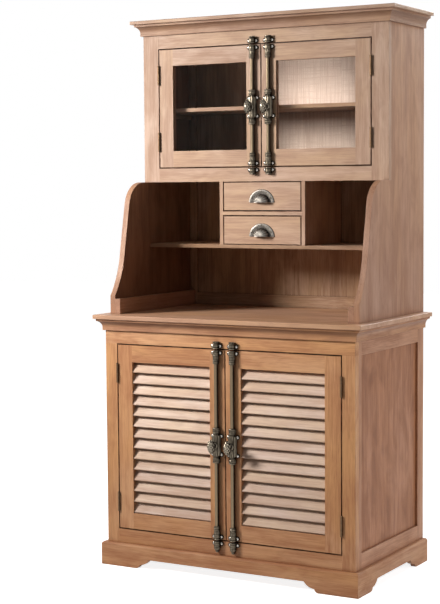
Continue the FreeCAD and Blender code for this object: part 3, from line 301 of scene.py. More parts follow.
    # painted shade along each gap: darker, and with less sheen
    if gaps:
        near = g.stretch(gaps(g, place), *GAP_SHADE_REACH)
        kept = g.stretch(g.noise(here, 22.0, 2.0), 0.30, 0.60, 0.60, 0.92)
        near = g.math("MULTIPLY", near, kept)
        colour = g.mix(near, colour, GAP_SHADE)
        gloss = g.math("MULTIPLY_ADD", near, -sheen, sheen)
    g.shade({"Base Color": colour, "Specular IOR Level": gloss})
    return g.owner


# ---------------------------------------------------------------- where on a board

# Masks, which are 1 where they say, and numbers for the boards.  Every one is a function of the
# graph and the place.  The steps between the numbers only have to be unlike one another.
STEP_ROW, STEP_COLUMN, STEP_STILE, STEP_SIDE, STEP_DOOR = 2.61, 4.7, 3.1, 2.3, 5.3
FIRST_STILE = 11.0
CABINET_LOW = 1.523             # where the lime starts
LIME_SHADED_BELOW_SHELF = (1.740, 1.752)     # between these heights, behind the cabinet's shelf, a painted shadow below it
BACK_JOIN = 0.188               # of the cabinet's back boards, on either side


def stiles(centre, half, axis=0, below=None):
    """A frame's uprights: what lies further than half from the centre of an opening, the same on
    the left and the right, and with below only under that height."""
    def mask(g, place):
        value = g.math("ABSOLUTE", place[0]) if axis == 0 else place[axis]
        away = g.math("ABSOLUTE", g.math("SUBTRACT", value, centre))
        found = g.math("GREATER_THAN", away, half)
        if below is not None:
            found = g.math("MULTIPLY", found, g.math("LESS_THAN", place[2], below))
        return found
    return mask


def round_corner(front_plane):
    """A moulding's side lengths, past the mitres."""
    def mask(g, place):
        out = g.math("SUBTRACT", g.math("ABSOLUTE", place[0]), HALF_WIDTH)
        return g.math("GREATER_THAN", out, g.math("SUBTRACT", front_plane, place[1]))
    return mask


def behind(depth):
    """What lies further back, such as a frame's rear faces."""
    def mask(g, place):
        return g.math("GREATER_THAN", place[1], depth)
    return mask


def within(half):
    """The side boards' inner faces."""
    def mask(g, place):
        return g.math("LESS_THAN", g.math("ABSOLUTE", place[0]), half)
    return mask


def lime_and_light(g, place):
    """The back's pale boards, the cabinet's middle and right ones, as seen from within: a pale lime,
    and with it a painted light where light falls on them through the glass, the left board kept
    dark as a painted shade.  The lime is thinner below the shelf, a painted shadow of the shelf."""
    high = g.math("GREATER_THAN", place[2], CABINET_LOW)
    high = g.math("MULTIPLY", high, g.stretch(place[2], *LIME_SHADED_BELOW_SHELF, 0.80, 1.0))
    on = g.math("MULTIPLY", high, g.math("GREATER_THAN", place[0], -BACK_JOIN))
    return g.math("MULTIPLY", on, g.math("LESS_THAN", g.normal()[1], -0.5))


def gaps_round(*outlines, between=False, reach=1.0):
    """How far off the gap is round each door or drawer, given as (half width, low, high), and with
    between also how far off the one between two doors is.  It ends at the depth of reach."""
    def distance(g, place):
        across = g.math("ABSOLUTE", place[0])
        found = [across] if between else []
        for half, low, high in outlines:
            level = g.math("ABSOLUTE", g.math("SUBTRACT", place[2], (low + high) / 2))
            over = g.math("SUBTRACT", level, (high - low) / 2)
            found.append(g.math("ABSOLUTE", g.math("MAXIMUM", g.math("SUBTRACT", across, half), over)))
        while len(found) > 1:
            found.append(g.math("MINIMUM", found.pop(), found.pop()))
        return g.math("MAXIMUM", found[0], g.math("SUBTRACT", place[1], reach))
    return distance


def by_side(g, place):
    """A number for the left and one for the right."""
    return g.math("MULTIPLY", g.math("SIGN", place[0]), STEP_SIDE)


def by_stile(axis=0, middle=0.0, doors=False):
    """A number for each upright: before or past the middle, on each side.  In a pair of doors the
    middle is each door's own."""
    def number(g, place):
        value = g.math("ABSOLUTE", place[0]) if doors else place[axis]
        past = g.math("GREATER_THAN", value, middle)
        found = g.total((STEP_STILE, past), (STEP_SIDE, g.math("SIGN", place[0])))
        return g.math("ADD", found, FIRST_STILE)
    return number


def by_row(start, pitch=1.0, doors=False):
    """A number for each board of a stack, and in a pair of doors another on each side.  A pitch of
    a metre only parts what is below a height from what is above it."""
    def number(g, place):
        index = g.math("FLOOR", g.math("DIVIDE", g.math("SUBTRACT", place[2], start), pitch))
        if not doors:
            return g.math("MULTIPLY", index, STEP_ROW)
        return g.total((STEP_ROW, index), (STEP_DOOR, g.math("SIGN", place[0])))
    return number


def by_column(g, place):
    """A number for each of the three boards of the cabinet's back."""
    beyond = g.math("GREATER_THAN", g.math("ABSOLUTE", place[0]), BACK_JOIN)
    return g.math("MULTIPLY", beyond, g.math("MULTIPLY", g.math("SIGN", place[0]), STEP_COLUMN))


# ---------------------------------------------------------------- the boards

# deeper darkens a wood towards the bottom and under darkens what faces down: both painted shade
UPPER = dict(light=srgb(206, 174, 152), dark=srgb(170, 133, 109))
BASE = dict(light=srgb(223, 172, 128), dark=srgb(174, 116, 77), deeper=(0.86, 0.02), mottle=0.30)
SIDE = dict(light=srgb(202, 159, 132), dark=srgb(164, 121, 95), deeper=(1.80, 0.95))
BASE_SIDE = dict(light=srgb(198, 145, 110), dark=srgb(157, 108, 79))
BASE_PANEL = dict(light=srgb(180, 120, 79), dark=srgb(132, 82, 52), mottle=0.30)
CROWN = dict(light=srgb(196, 160, 136), dark=srgb(150, 112, 89), wear=0.9, under=0.55)
BASE_EDGE = dict(light=srgb(202, 152, 115), dark=srgb(152, 104, 75), wear=0.9, under=0.55)
SLAT = dict(light=srgb(236, 211, 195), dark=srgb(206, 171, 147), mottle=0.18, deeper=(0.74, 0.12),
            under=0.6)
INSIDE = dict(light=srgb(188, 156, 130), dark=srgb(138, 106, 83), roughness=0.6, sheen=0.12)
TOP = dict(light=srgb(212, 170, 142), dark=srgb(178, 134, 106))

# The middles of the gaps, as (half width, low, high), and how deep the drawers' stain goes.
LOWER_GAP = (0.4715, 0.1445, 0.8555)
UPPER_GAP = (0.4545, 1.5255, 1.9875)
DRAWER_GAPS = ((0.1670, 1.2285, 1.3392), (0.1670, 1.3579, 1.4685))
DRAWER_REACH = 0.016
# The frames' openings, as (centre, half width), and heights between their rails.
UPPER_FACE_OPENING, UPPER_DOOR_OPENING = (0.0, 0.456), (0.22725, 0.16375)
LOWER_FACE_OPENING, LOWER_DOOR_OPENING = (0.0, 0.473), (0.23575, 0.17025)
BACK_OPENING, BASE_SIDE_OPENING = (0.0, 0.470), (0.029, 0.256)
UPPER_MIDDLE, LOWER_MIDDLE, BACK_MIDDLE = 1.75, 0.50, 1.5
UPPER_DOOR_MIDDLE, LOWER_DOOR_MIDDLE = 0.227, 0.236     # of one door, across
LOWER_STILES_TOP = 0.857        # where the base's top rail lies over its stiles
UPPER_REAR = 0.0335             # just before the rear faces of the cabinet's front frames
SIDE_INNER = 0.5035             # just past the hutch sides' inner faces, into the wood
DRAWER_SPLIT = 1.35             # a height between the two drawers
CABINET_BOARDS = (0.55, 0.4)    # parts the cabinet's floor from its top board
SLATS = (0.2079, 0.0414286)     # just below the first slat, and their pitch


def make_woods():
    in_drawers = gaps_round(*DRAWER_GAPS, reach=DRAWER_REACH)
    # inner and gaps mark where wood() paints shade, and the lime's mask paints light and shade too
    table = {
        "upper_face_frame": wood(
            "upper_face_wood", cross="Z", member=stiles(*UPPER_FACE_OPENING),
            board=by_row(UPPER_MIDDLE - 1.0), crossed=by_stile(), inner=behind(UPPER_REAR),
            gaps=gaps_round(UPPER_GAP), **UPPER),
        "upper_door_frame": wood(
            "upper_door_wood", cross="Z", member=stiles(*UPPER_DOOR_OPENING),
            board=by_row(UPPER_MIDDLE, doors=True), crossed=by_stile(middle=UPPER_DOOR_MIDDLE, doors=True),
            inner=behind(UPPER_REAR), gaps=gaps_round(UPPER_GAP, between=True), **UPPER),
        "crown_moulding": wood(
            "crown_wood", cross="Y", member=round_corner(UPPER_FACE), crossed=by_side, **CROWN),
        "crown_cap": wood("cap_wood", **UPPER),
        "drawer_bottom drawer_top": wood(
            "drawer_wood", board=by_row(DRAWER_SPLIT), gaps=in_drawers, **UPPER),
        "drawer_dust_board": wood("dust_board_wood", gaps=in_drawers, **UPPER),
        "drawer_dividers": wood("divider_wood", grain="Z", board=by_side, gaps=in_drawers, **UPPER),
        "hutch_side": wood("hutch_side_wood", grain="Z", board=by_side, inner=within(SIDE_INNER), **SIDE),
        "worktop_curbs": wood("curb_wood", grain="Y", board=by_side, **SIDE),
        "hutch_back_frame": wood(
            "back_frame_wood", cross="Z", member=stiles(*BACK_OPENING), board=by_row(BACK_MIDDLE),
            crossed=by_side, washed=lime_and_light, **INSIDE),
        "hutch_back_panels": wood("back_board_wood", grain="Z", board=by_column, washed=lime_and_light, **INSIDE),
        "niche_shelf": wood("niche_shelf_wood", **INSIDE),
        "upper_shelf": wood("shelf_wood", roughness=0.6, sheen=0.1, **UPPER),
        "upper_floor upper_top_board": wood(
            "cabinet_inside_wood", board=by_row(*CABINET_BOARDS), **INSIDE),
        "base_shelf base_floor base_back shelf_cleats plinth_corner_blocks": wood(
            "base_inside_wood", **INSIDE),
        "worktop": wood("worktop_wood", roughness=0.42, **TOP),
        "base_moulding": wood(
            "base_moulding_wood", cross="Y", member=round_corner(LOWER_FACE), crossed=by_side, **BASE_EDGE),
        "base_face_frame": wood(
            "base_face_wood", cross="Z", member=stiles(*LOWER_FACE_OPENING, below=LOWER_STILES_TOP),
            board=by_row(LOWER_MIDDLE), crossed=by_stile(), gaps=gaps_round(LOWER_GAP), **BASE),
        "lower_door_frame": wood(
            "lower_door_wood", cross="Z", member=stiles(*LOWER_DOOR_OPENING),
            board=by_row(LOWER_MIDDLE, doors=True), crossed=by_stile(middle=LOWER_DOOR_MIDDLE, doors=True),
            gaps=gaps_round(LOWER_GAP, between=True), **BASE),
        "plinth": wood("plinth_wood", cross="Y", member=round_corner(LOWER_FACE), crossed=by_side, **BASE),
        "base_side_frame": wood(
            "base_side_wood", grain="Y", cross="Z", member=stiles(*BASE_SIDE_OPENING, axis=1),
            board=by_row(LOWER_MIDDLE), crossed=by_stile(axis=1), **BASE_SIDE),
        "base_side_panels": wood("base_panel_wood", grain="Z", board=by_side, **BASE_PANEL),
        "lower_door_louvres": wood("louvre_wood", board=by_row(*SLATS, doors=True), **SLAT),
    }
    for names, material in table.items():
        for name in names.split():
            for each in (name, name + "_right", name + "_left"):
                if each in nodes:
                    dress(each, material)


def dress(name, material):
    node = nodes[name]
    node.data.materials.clear()
    node.data.materials.append(material)


# ---------------------------------------------------------------- metal and glass

HOLLOW_REACH = 0.010            # how far up its relief a casting is dark
CAST_EDGE = 0.0010              # the radius of a casting's edges


def metal(name, light, middle, dark, roughness, shares=(0.34, 0.24, 0.42), hollow=(0.46, 0.54),
          open_sky=(0.25, 0.92)):
    """Aged metal: bright where it is rubbed and dark in its hollows, with a painted highlight on what
    faces out from the wood and a painted shade on its sides.  Its shares are how much of that goes
    by what is raised, by the patina's clouds and by the painted light on what faces out, and
    open_sky says how shut in a hollow is when it is darkest, and when it is bright again."""
    g = Graph(bpy.data.materials.new(name))
    raised = g.stretch(g.add("ShaderNodeNewGeometry").outputs["Pointiness"], *hollow)
    corner = g.stretch(g.open_sky(HOLLOW_REACH, 6), *open_sky)
    patina = g.stretch(g.noise(g.vector(*g.place()), 170.0, 4.0, 0.6), 0.30, 0.70)
    # painted light: lighter where the surface faces out from the wood, darker on its sides
    front = g.stretch(g.normal()[1], -0.30, -0.92)
    shade = g.math("MULTIPLY", corner, g.total(*zip(shares, (raised, patina, front))), clamp=True)
    ramp = g.add("ShaderNodeValToRGB", {"Fac": shade})
    stops = ramp.color_ramp.elements
    stops[0].position, stops[0].color = 0.12, dark
    stops[1].position, stops[1].color = 0.90, light
    stops.new(0.5).color = middle
    g.shade({"Base Color": ramp.outputs["Color"], "Metallic": 1.0,
             "Roughness": g.stretch(shade, 0.0, 1.0, roughness + 0.28, roughness),
             "Normal": g.bump(patina, g.rounded(CAST_EDGE), 0.12, 0.0003)})
    return g.owner


def pane_glass():
    """A thin pane: clear, with a faint sheen."""
    g = Graph(bpy.data.materials.new("pane_glass"))
    g.shade({"Base Color": (0.40, 0.44, 0.43, 1.0), "Metallic": 1.0, "Roughness": 0.03})
    clear = g.add("ShaderNodeBsdfTransparent")
    both = g.add("ShaderNodeMixShader", {0: 0.010, 1: clear.outputs[0], 2: g.shader.outputs[0]})
    g.put(g.output.inputs["Surface"], both.outputs[0])
    return g.owner


# ---------------------------------------------------------------- shapes

ROD_AXIS = 8.5                  # how far a rod's axis stands off the wood, mm
AROUND = 72                     # points round a casting
MERGED = 1e-6                   # how near two points are one, in metres
NEAREST = 0.05                  # how near two sections of a turning may be, mm
CREASE = 38                     # degrees between two faces, beyond which their edge is sharp
ON_WOOD = 0.1                   # how far a casting's back is off the wood, mm
BODY, TRIM, LUG = 0, 1, 2       # which of a casting's materials a face has


class Shape:
    """Points in millimetres, as (across, out, up), and faces, gathered to become one mesh."""

    def __init__(self):
        self.points, self.faces, self.kinds = [], [], []

    def loft(self, loops, closed=False, kind=BODY):
        """A skin through loops of equal length: its ends capped, or its last joined to its first."""
        rows = []
        for loop in loops:
            start = len(self.points)
            self.points += [tuple(point) for point in loop]
            rows.append(range(start, start + len(loop)))
        count = len(rows[0])
        for low, high in zip(rows, rows[1:] + rows[:1] if closed else rows[1:]):
            for i in range(count):
                j = (i + 1) % count
                self.faces.append((low[i], low[j], high[j], high[i]))
        if not closed:
            self.faces += [tuple(reversed(rows[0])), tuple(rows[-1])]
        self.kinds += [kind] * (len(self.faces) - len(self.kinds))

    def add(self, other, across=0.0, out=0.0, up=0.0, side=1, flip=False):
        """Takes in another shape, moved, mirrored if side is -1, and upside down if flip."""
        start, turn = len(self.points), -1 if flip else 1
        self.points += [(x * side + across, w + out, z * turn + up) for x, w, z in other.points]
        self.faces += [tuple(start + i for i in face) for face in other.faces]
        self.kinds += other.kinds

    def build(self, name, body, slot, materials, stands_for, at, side=1):
        """One mesh object, at (x, face, z) in metres, or its mirror image if side is -1."""
        mesh = bpy.data.meshes.new(name)
        x0, face, z0 = at
        mesh.from_pydata([(side * (x0 + x / MM), face - w / MM, z0 + z / MM) for x, w, z in self.points],
                         [], self.faces)
        for material in materials:
            mesh.materials.append(material)
        for polygon, kind in zip(mesh.polygons, self.kinds):
            polygon.material_index = kind
        net = bmesh.new()
        net.from_mesh(mesh)
        bmesh.ops.remove_doubles(net, verts=net.verts, dist=MERGED)
        bmesh.ops.recalc_face_normals(net, faces=net.faces)
        net.to_mesh(mesh)
        net.free()
        mesh.shade_smooth()
        mesh.set_sharp_from_angle(angle=math.radians(CREASE))
        item = bpy.data.objects.new(name, mesh)
        scene.collection.objects.link(item)
        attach(item, body)
        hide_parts(*stands_for)


def circle(radius, around):
    """Points round a circle, as pairs."""
    turns = [2 * math.pi * i / around for i in range(around)]
    return [(radius * math.cos(turn), radius * math.sin(turn)) for turn in turns]


def disc(radius, out, around=AROUND):
    """A circle of points that lies level with the wood, so far out from it."""
    return [(x, out, z) for x, z in circle(radius, around)]


def blend(knots, at):
    """The values at a place along knots of (place, values...), straight between them."""
    low = max((k for k in knots if k[0] <= at), key=lambda k: k[0], default=knots[0])
    high = min((k for k in knots if k[0] >= at), key=lambda k: k[0], default=knots[-1])
    share = (at - low[0]) / (high[0] - low[0]) if high[0] > low[0] else 0.0
    return [a + (b - a) * share for a, b in zip(low[1:], high[1:])]


def stations(knots, beads, step):
    """Places along a turning: its knots, seven across each bead, and none further apart than step."""
    marks = {k[0] for k in knots}
    for middle, half, _ in beads:
        marks |= {middle + half * t for t in (-1, -0.92, -0.6, 0, 0.6, 0.92, 1)}
    marks = sorted(marks)
    found = [marks[0]]
    for mark in marks[1:]:
        start = found[-1]
        gap = mark - start
        if gap < NEAREST:
            continue
        parts = max(1, math.ceil(gap / step))
        found += [start + gap * (i + 1) / parts for i in range(parts)]
    return found


def bead_height(beads, at):
    """How far the beads of a turning, given as (middle, half, height), stand out there."""
    found = 0.0
    for middle, half, height in beads:
        t = abs(at - middle) / half
        if t < 1:
            found = max(found, height * math.sqrt(1 - t * t))
    return found


def arch(z, half, rise, foot=1.0, swell=None):
    """A casting's section at height z, about the rod's axis and flat where it meets the wood.
    foot 1 leaves it round below the axis, and a smaller foot squares it."""
    loop = []
    for i in range(AROUND):
        turn = 2 * math.pi * i / AROUND
        across, out = math.cos(turn), math.sin(turn)
        grow = swell(turn, z) if swell else 1.0
        if out < 0:
            across = math.copysign(abs(across) ** foot, across)
            grow += (1 - grow) * -out
        drop = rise if out >= 0 else max(rise, ROD_AXIS)
        loop.append((half * grow * across, max(ON_WOOD, ROD_AXIS + drop * grow * out), z))
    return loop


def turned(knots, beads, hole, swell, step=2.0, blind=False):
    """A casting with a bore.  Its knots are (z, half width, rise, foot), and the hole's are
    (z, half width, rise), from the casting's last place back to its first.  A blind hole starts
    at the first place and ends inside."""
    places = stations(knots, beads, step)
    outer = []
    for z in reversed(places) if blind else places:
        half, rise, foot = blend(knots, z)
        more = bead_height(beads, z)
        outer.append(arch(z, half + more, rise + more, foot, swell))
    shape = Shape()
    shape.loft(outer + [arch(*knot) for knot in hole], closed=not blind)
    return shape


def dome(levels, around=24, kind=BODY):
    """A small round boss standing on the wood, from (radius, out) levels."""
    shape = Shape()
    shape.loft([disc(r, out, around) for r, out in levels], kind=kind)
    return shape


def screw_head(radius, rise, base):
    """A round head in two halves, with the slot between them."""
    slant, slot_half, steps = 0.6, radius * 0.11, 12
    shape = dome(((radius, base), (radius * 0.98, base + rise * 0.35)), around=20, kind=TRIM)
    for turn in (slant, slant + math.pi):
        loops = []
        for share, height in ((1.0, 0.3), (0.97, 0.5), (0.86, 0.75), (0.66, 0.92), (0.4, 1.0)):
            r = radius * share
            start = math.asin(slot_half / r)
            arc = [start + (math.pi - 2 * start) * i / steps for i in range(steps + 1)]
            loops.append([(r * math.cos(a + turn), base + rise * height, r * math.sin(a + turn))
                          for a in arc])
        shape.loft(loops, kind=TRIM)
    return shape


def add_ears(shape, across, *heights):
    """Adds ringed lugs with a screw, flat on the wood at either side of a casting."""
    ear = dome([(8.6, ON_WOOD), (8.6, 2.2), (8.3, 3.4), (7.6, 4.1), (6.9, 3.9), (6.4, 2.4), (0.5, 2.4)],
               kind=LUG)
    ear.add(screw_head(5.7, 4.0, 2.4))
    for side in (-across, across):
        for up in heights:
            shape.add(ear, across=side, up=up)


def lobes(low, high, count=12, depth=0.13):
    """Rounded lobes all round a casting between two heights."""
    def swell(turn, z):
        if not low <= abs(z) <= high:
            return 1.0
        return 1 - depth * (1 - abs(math.cos(turn * count / 2)))
    return swell


def leaves(turn, z):
    """Long leaves lapping a case's belly, their tips towards its ends, and reeds at its collars."""
    reeded, leafy, depth = (51.5, 60.5), (5, 45), 0.10
    reeds, count, rib_width, rib_depth = 16, 10, 0.2, 0.035
    place = abs(z)
    if reeded[0] < place < reeded[1]:
        return 1 - depth * (1 - abs(math.cos(turn * reeds / 2)))
    if not leafy[0] < place < leafy[1]:
        return 1.0
    along = (place - leafy[0]) / (leafy[1] - leafy[0])
    across = abs((turn * count / (2 * math.pi) + 0.5) % 1 - 0.5) * 2
    width = math.sqrt(max(0.0, 1 - along ** 2))
    leaf = min(1.0, max(0.0, (width - across) * 4))
    rib = max(0.0, 1 - across / rib_width)
    return 1 - depth + depth * leaf - rib_depth * rib * leaf


# ---------------------------------------------------------------- bolts

# Knots are (z, half width, rise, foot) and beads are (middle, half, height), all in mm.
BOLT_X = 0.034                  # of a bolt's axis, on either side, in metres
BORE = 7.35                     # of the cases and guides, round the rods
KEEP_BORE = 8.0
GUIDE_INSET = 2                 # from a door's end to its guide
KEEP_OFF = 0.0045               # from a door's end to the keep, in metres
CASE_KNOTS = [(0, 18.2, 11.2, 0.45), (12, 18.2, 11.2, 0.45), (26, 17.6, 10.9, 0.55), (35, 16.9, 10.6, 0.7),
              (38.5, 13.0, 10.2, 0.9), (41, 11.6, 10.0, 1.0), (47, 12.4, 10.6, 1.0), (50, 14.4, 11.2, 1.0),
              (65, 14.0, 11.0, 1.0)]
CASE_BEADS = [(45.4, 1.6, 1.3), (49.6, 1.7, 1.2), (62.6, 1.9, 1.4)]
CASE_ROOM = (34.5, 14.2, 7.3)   # the hollow for the pinion and the racks: half height, half width, rise
GUIDE_KNOTS = [(0, 12.4, 10.8, 0.8), (14, 12.4, 10.8, 0.8), (17, 11.0, 10.4, 1.0), (22, 12.2, 11.0, 1.0),
               (34, 11.0, 10.4, 1.0), (50, 10.6, 10.2, 1.0)]
GUIDE_BEADS = [(1.6, 1.6, 1.1), (18.0, 1.8, 1.6), (36.6, 1.7, 1.4), (42.6, 2.6, 2.0), (48.2, 1.6, 1.4)]
KEEP_KNOTS = [(0, 12.4, 10.8, 0.8), (15, 12.4, 10.8, 0.8), (17.5, 11.0, 10.4, 1.0)]
KEEP_BEADS = [(1.5, 1.5, 1.0), (18.0, 1.5, 1.4)]
# The two kinds of end that a keep has: a plain cap, and a finial on the long ones.
CAP_KNOTS = [(22.5, 10.8, 10.4, 1.0), (23.6, 12.8, 11.2, 1.0), (26, 12.8, 11.2, 1.0)]
FINIAL_KNOTS = [(21, 11.6, 10.8, 1.0), (28, 12.2, 11.2, 1.0), (34, 8.0, 8.0, 1.0), (36, 5.6, 5.6, 1.0),
                (37, 6.2, 6.2, 1.0), (39.5, 6.6, 6.6, 1.0), (41.4, 4.6, 4.6, 1.0), (42, 1.8, 1.8, 1.0)]


def case_shape():
    """The case with its bowed belly, hollow round the rods and the pinion."""
    knots = [(-z, *rest) for z, *rest in reversed(CASE_KNOTS[1:])] + CASE_KNOTS
    beads = [(-z, half, high) for z, half, high in CASE_BEADS] + CASE_BEADS
    room, *section = CASE_ROOM
    end = CASE_KNOTS[-1][0]
    hole = [(end, BORE, BORE), (room + 1, BORE, BORE), (room, *section), (-room, *section),
            (-room - 1, BORE, BORE), (-end, BORE, BORE)]
    shape = turned(knots, beads, hole, leaves, step=1.5)
    add_ears(shape, 18.2, -34.0, 34.0)
    return shape


def guide_shape():
    """The guide at a door's end: its open end at z 0, by the keep, and its collar at its far end."""
    hole = [(GUIDE_KNOTS[-1][0], BORE, BORE), (0, BORE, BORE)]
    shape = turned(GUIDE_KNOTS, GUIDE_BEADS, hole, lobes(19.9, 34.8))
    add_ears(shape, 15.2, 9.2)
    return shape


def keep_shape(length):
    """A keep on the face frame: its mouth at z 0, by the guide, and a blind end."""
    ending = CAP_KNOTS if length == CAP_KNOTS[-1][0] else FINIAL_KNOTS
    hole = [(0.0, KEEP_BORE, KEEP_BORE), (18.6, KEEP_BORE, KEEP_BORE)]
    shape = turned(KEEP_KNOTS + ending, KEEP_BEADS, hole, lobes(19.8, 32), blind=True)
    add_ears(shape, 15.2, 9.2)
    return shape


def knob_shape():
    """The carved egg on its neck, the collar, the spindle and the pinion, along the out axis."""
    middle, wide, tall = 46.4, 15.0, 26.6       # the egg's middle, and its half depth and size
    notch = 0.30                                # how deep its petals part

    def oval(out, share, tier=0):
        """A section of the egg, out being -1 to 1 along it, with petals except at its poles and
        where it is widest."""
        loop = []
        for i in range(AROUND):
            turn = 2 * math.pi * i / AROUND
            petal = abs(math.cos(4 * (turn + tier * math.pi / 8)))
            grow = share * (1 - (notch * (1 - petal) if 0.16 < share < 0.999 else 0.0))
            loop.append((wide * grow * math.cos(turn), middle + wide * out, tall * grow * math.sin(turn)))
        return loop

    neck = ((5.4, 20.6), (10.6, 20.6), (11.2, 21.4), (11.2, 23.2), (10.0, 24.2), (7.6, 24.6),
            (6.2, 26.0), (6.0, 28.5), (7.4, 29.8))
    back = ((-0.97, 0.30), (-0.86, 0.52), (-0.62, 0.80), (-0.30, 0.96), (-0.02, 1.0))
    tip = ((0.955, 0.24), (0.985, 0.20), (1.0, 0.08))
    loops = [disc(radius, out) for radius, out in neck] + [oval(*section) for section in back]
    # three tiers of petals, each lapping over the next one in
    for tier, (start, end) in enumerate(((0.05, 0.42), (0.42, 0.74), (0.74, 0.95)), start=1):
        for t in (0.0, 0.2, 0.5, 0.8, 1.0):
            out = start + (end - start) * t
            lap = 0.90 + 0.13 * math.sin(math.pi * min(1.0, 0.15 + t * 0.85)) ** 0.7
            loops.append(oval(out, min(math.sqrt(1 - out * out) * lap, 0.995), tier % 2))
    shape = Shape()
    shape.loft(loops + [oval(*section) for section in tip])
    add_spindle(shape)
    return shape


def add_spindle(shape):
    """Adds the square spindle and the pinion that drives both racks."""
    half, collar, pinion, end = 3.5, 20.8, 11.0, 6.0    # the last three are places along it
    square = [(-half, -half), (half, -half), (half, half), (-half, half)]
    teeth, root, tip = 14, 7.5, 10.0
    outline = []
    for i in range(teeth):
        turn = 2 * math.pi * i / teeth
        for radius, width in ((root, -0.95), (tip, -0.5), (tip, 0.5), (root, 0.95)):
            outline.append((radius * math.cos(turn) - width * math.sin(turn),
                            radius * math.sin(turn) + width * math.cos(turn)))
    for section, ends in ((square, (collar, pinion)), (outline, (pinion, end))):
        shape.loft([[(x, out, z) for x, z in section] for out in ends])


def make_bolts(metals, relief):
    """The bolts and their keeps.  metals are those of the castings' body, screws and lugs, and
    relief is the knobs'."""
    case, guide, knob = case_shape(), guide_shape(), knob_shape()
    keeps = Shape()
    for door, facts in DOORS.items():
        face, (low, high), middle = facts["face"], facts["ends"], facts["bolt"]
        fittings = Shape()
        fittings.add(case)
        fittings.add(guide, up=(high - middle) * MM - GUIDE_INSET, flip=True)
        fittings.add(guide, up=(low - middle) * MM + GUIDE_INSET)
        for side, sign in SIDES:
            fittings.build(f"{door}_bolt_casting_{side}", f"{door}_{side}", "bolt_metal", metals,
                           [f"{door}_bolt_case_{side}"], (BOLT_X, face, middle), sign)
            knob.build(f"{door}_carved_knob_{side}", f"{door}_knob_{side}", "bolt_metal", (relief,),
                       [f"{door}_knob_{side}"], (BOLT_X, face, middle), sign)
        for length, mouth, flip in zip(facts["keeps"], (low - KEEP_OFF, high + KEEP_OFF), (True, False)):
            keep = keep_shape(length)
            for _, sign in SIDES:
                keeps.add(keep, across=sign * BOLT_X * MM, out=-face * MM, up=mouth * MM, side=sign,
                          flip=flip)
    keeps.build("bolt_keep_castings", "case", "bolt_metal", metals, ["bolt_keeps"], (0, 0, 0))


# ---------------------------------------------------------------- pulls

# A cup's profile, as (share of its half width or height, out in mm): its outside from the rim in
# to its middle, and its inside back to the wood.
CUP_OUTER = [(1.0, ON_WOOD), (1.0, 1.4), (0.985, 2.6), (0.95, 3.6), (0.90, 3.9), (0.83, 3.7), (0.75, 3.1),
             (0.68, 2.6), (0.645, 3.0), (0.63, 5.0), (0.61, 9.5), (0.57, 15.0), (0.50, 19.5), (0.41, 22.6),
             (0.29, 24.3), (0.15, 24.8), (0.0, 24.9)]
CUP_INNER = [(0.0, 23.0), (0.28, 22.3), (0.39, 20.6), (0.47, 17.6), (0.535, 13.8), (0.575, 9.0),
             (0.595, ON_WOOD)]
CUP_STEPS = 60
CUP_STUDS = 13
CUPS = (("drawer_bottom", 1.2606), ("drawer_top", 1.3899))      # the height that each stands at


def pull_shape():
    """A half-round cup, open below: a broad flange with studs and screws, a groove, and a fluted
    dome."""
    wide, tall, deep = 54.5, 50.0, CUP_OUTER[-1][1]
    flutes, relief, level = 18, 1.1, 0.6        # to the full turn, how deep, and what stays level
    loops = []
    for i in range(CUP_STEPS + 1):
        turn = math.pi * i / CUP_STEPS
        loop = []
        for share, out in CUP_OUTER + CUP_INNER:
            flute = 0.0
            if out > 4.5 and 0.2 < share < 0.66 and (share, out) in CUP_OUTER:
                flute = relief * (abs(math.cos(turn * flutes / 2)) - level)
            grow = share + flute / tall
            loop.append((wide * grow * math.cos(turn), min(out + flute, deep),
                         tall * grow * math.sin(turn)))
        loops.append(loop)
    shape = Shape()
    shape.loft(loops)
    screw = screw_head(3.3, 1.8, 2.8)
    for across, up in ((0.0, 43.6), (-40.0, 18.0), (40.0, 18.0)):
        shape.add(screw, across=across, up=up)
    stud = dome([(1.6, 2.6), (1.5, 3.9), (1.0, 4.6), (0.2, 4.9)], around=10, kind=TRIM)
    for i in range(CUP_STUDS):
        turn = math.pi * (i + 0.5) / CUP_STUDS
        shape.add(stud, across=47.6 * math.cos(turn), up=43.4 * math.sin(turn))
    return shape


def make_pulls(metals):
    """The drawers' cups, of the metals of their body and of their screws and studs."""
    pull = pull_shape()
    for drawer, base in CUPS:
        pull.build(f"{drawer}_cup", drawer, "cup_metal", metals, [f"{drawer}_pull"], (0, UPPER_FACE, base))


# ---------------------------------------------------------------- hinges

# In mm.  A hinge's knuckles turn about a pin that stands out from the wood, and its leaves are let
# in beside the gap.
PIN_OUT = 4
KNUCKLE, PIN, PIN_BORE = 3.9, 1.6, 1.8      # radii
THIRD = 25.0                    # the length of a knuckle, a third of the hinge's
PLAY = 0.4                      # at each end of the door's knuckle
FRAME_LEAF, DOOR_LEAF = (0.1, 1.5), (-1.5, -0.1)
LEAF_BACK, LEAF_FRONT = -19.0, -0.4


def barrel(low, high, radius, bore=0.0):
    """A knuckle about the hinge's pin, its ends eased, with the pin's bore through it if it turns."""
    ease_in, ease_on = 0.35, 0.4
    levels = [(low, radius - ease_in), (low + ease_on, radius), (high - ease_on, radius),
              (high, radius - ease_in)]
    if bore:
        levels += [(high, bore), (low, bore)]
    shape = Shape()
    shape.loft([[(x, PIN_OUT + out, z) for x, out in circle(r, 20)] for z, r in levels], closed=bore > 0)
    return shape


def plate(x0, x1, low, high, front=PIN_OUT):
    """A hinge leaf, or the part of it that reaches out to a knuckle."""
    shape = Shape()
    outline = ((x0, front), (x1, front), (x1, LEAF_BACK), (x0, LEAF_BACK))
    shape.loft([[(x, out, z) for x, out in outline] for z in (low, high)])
    return shape


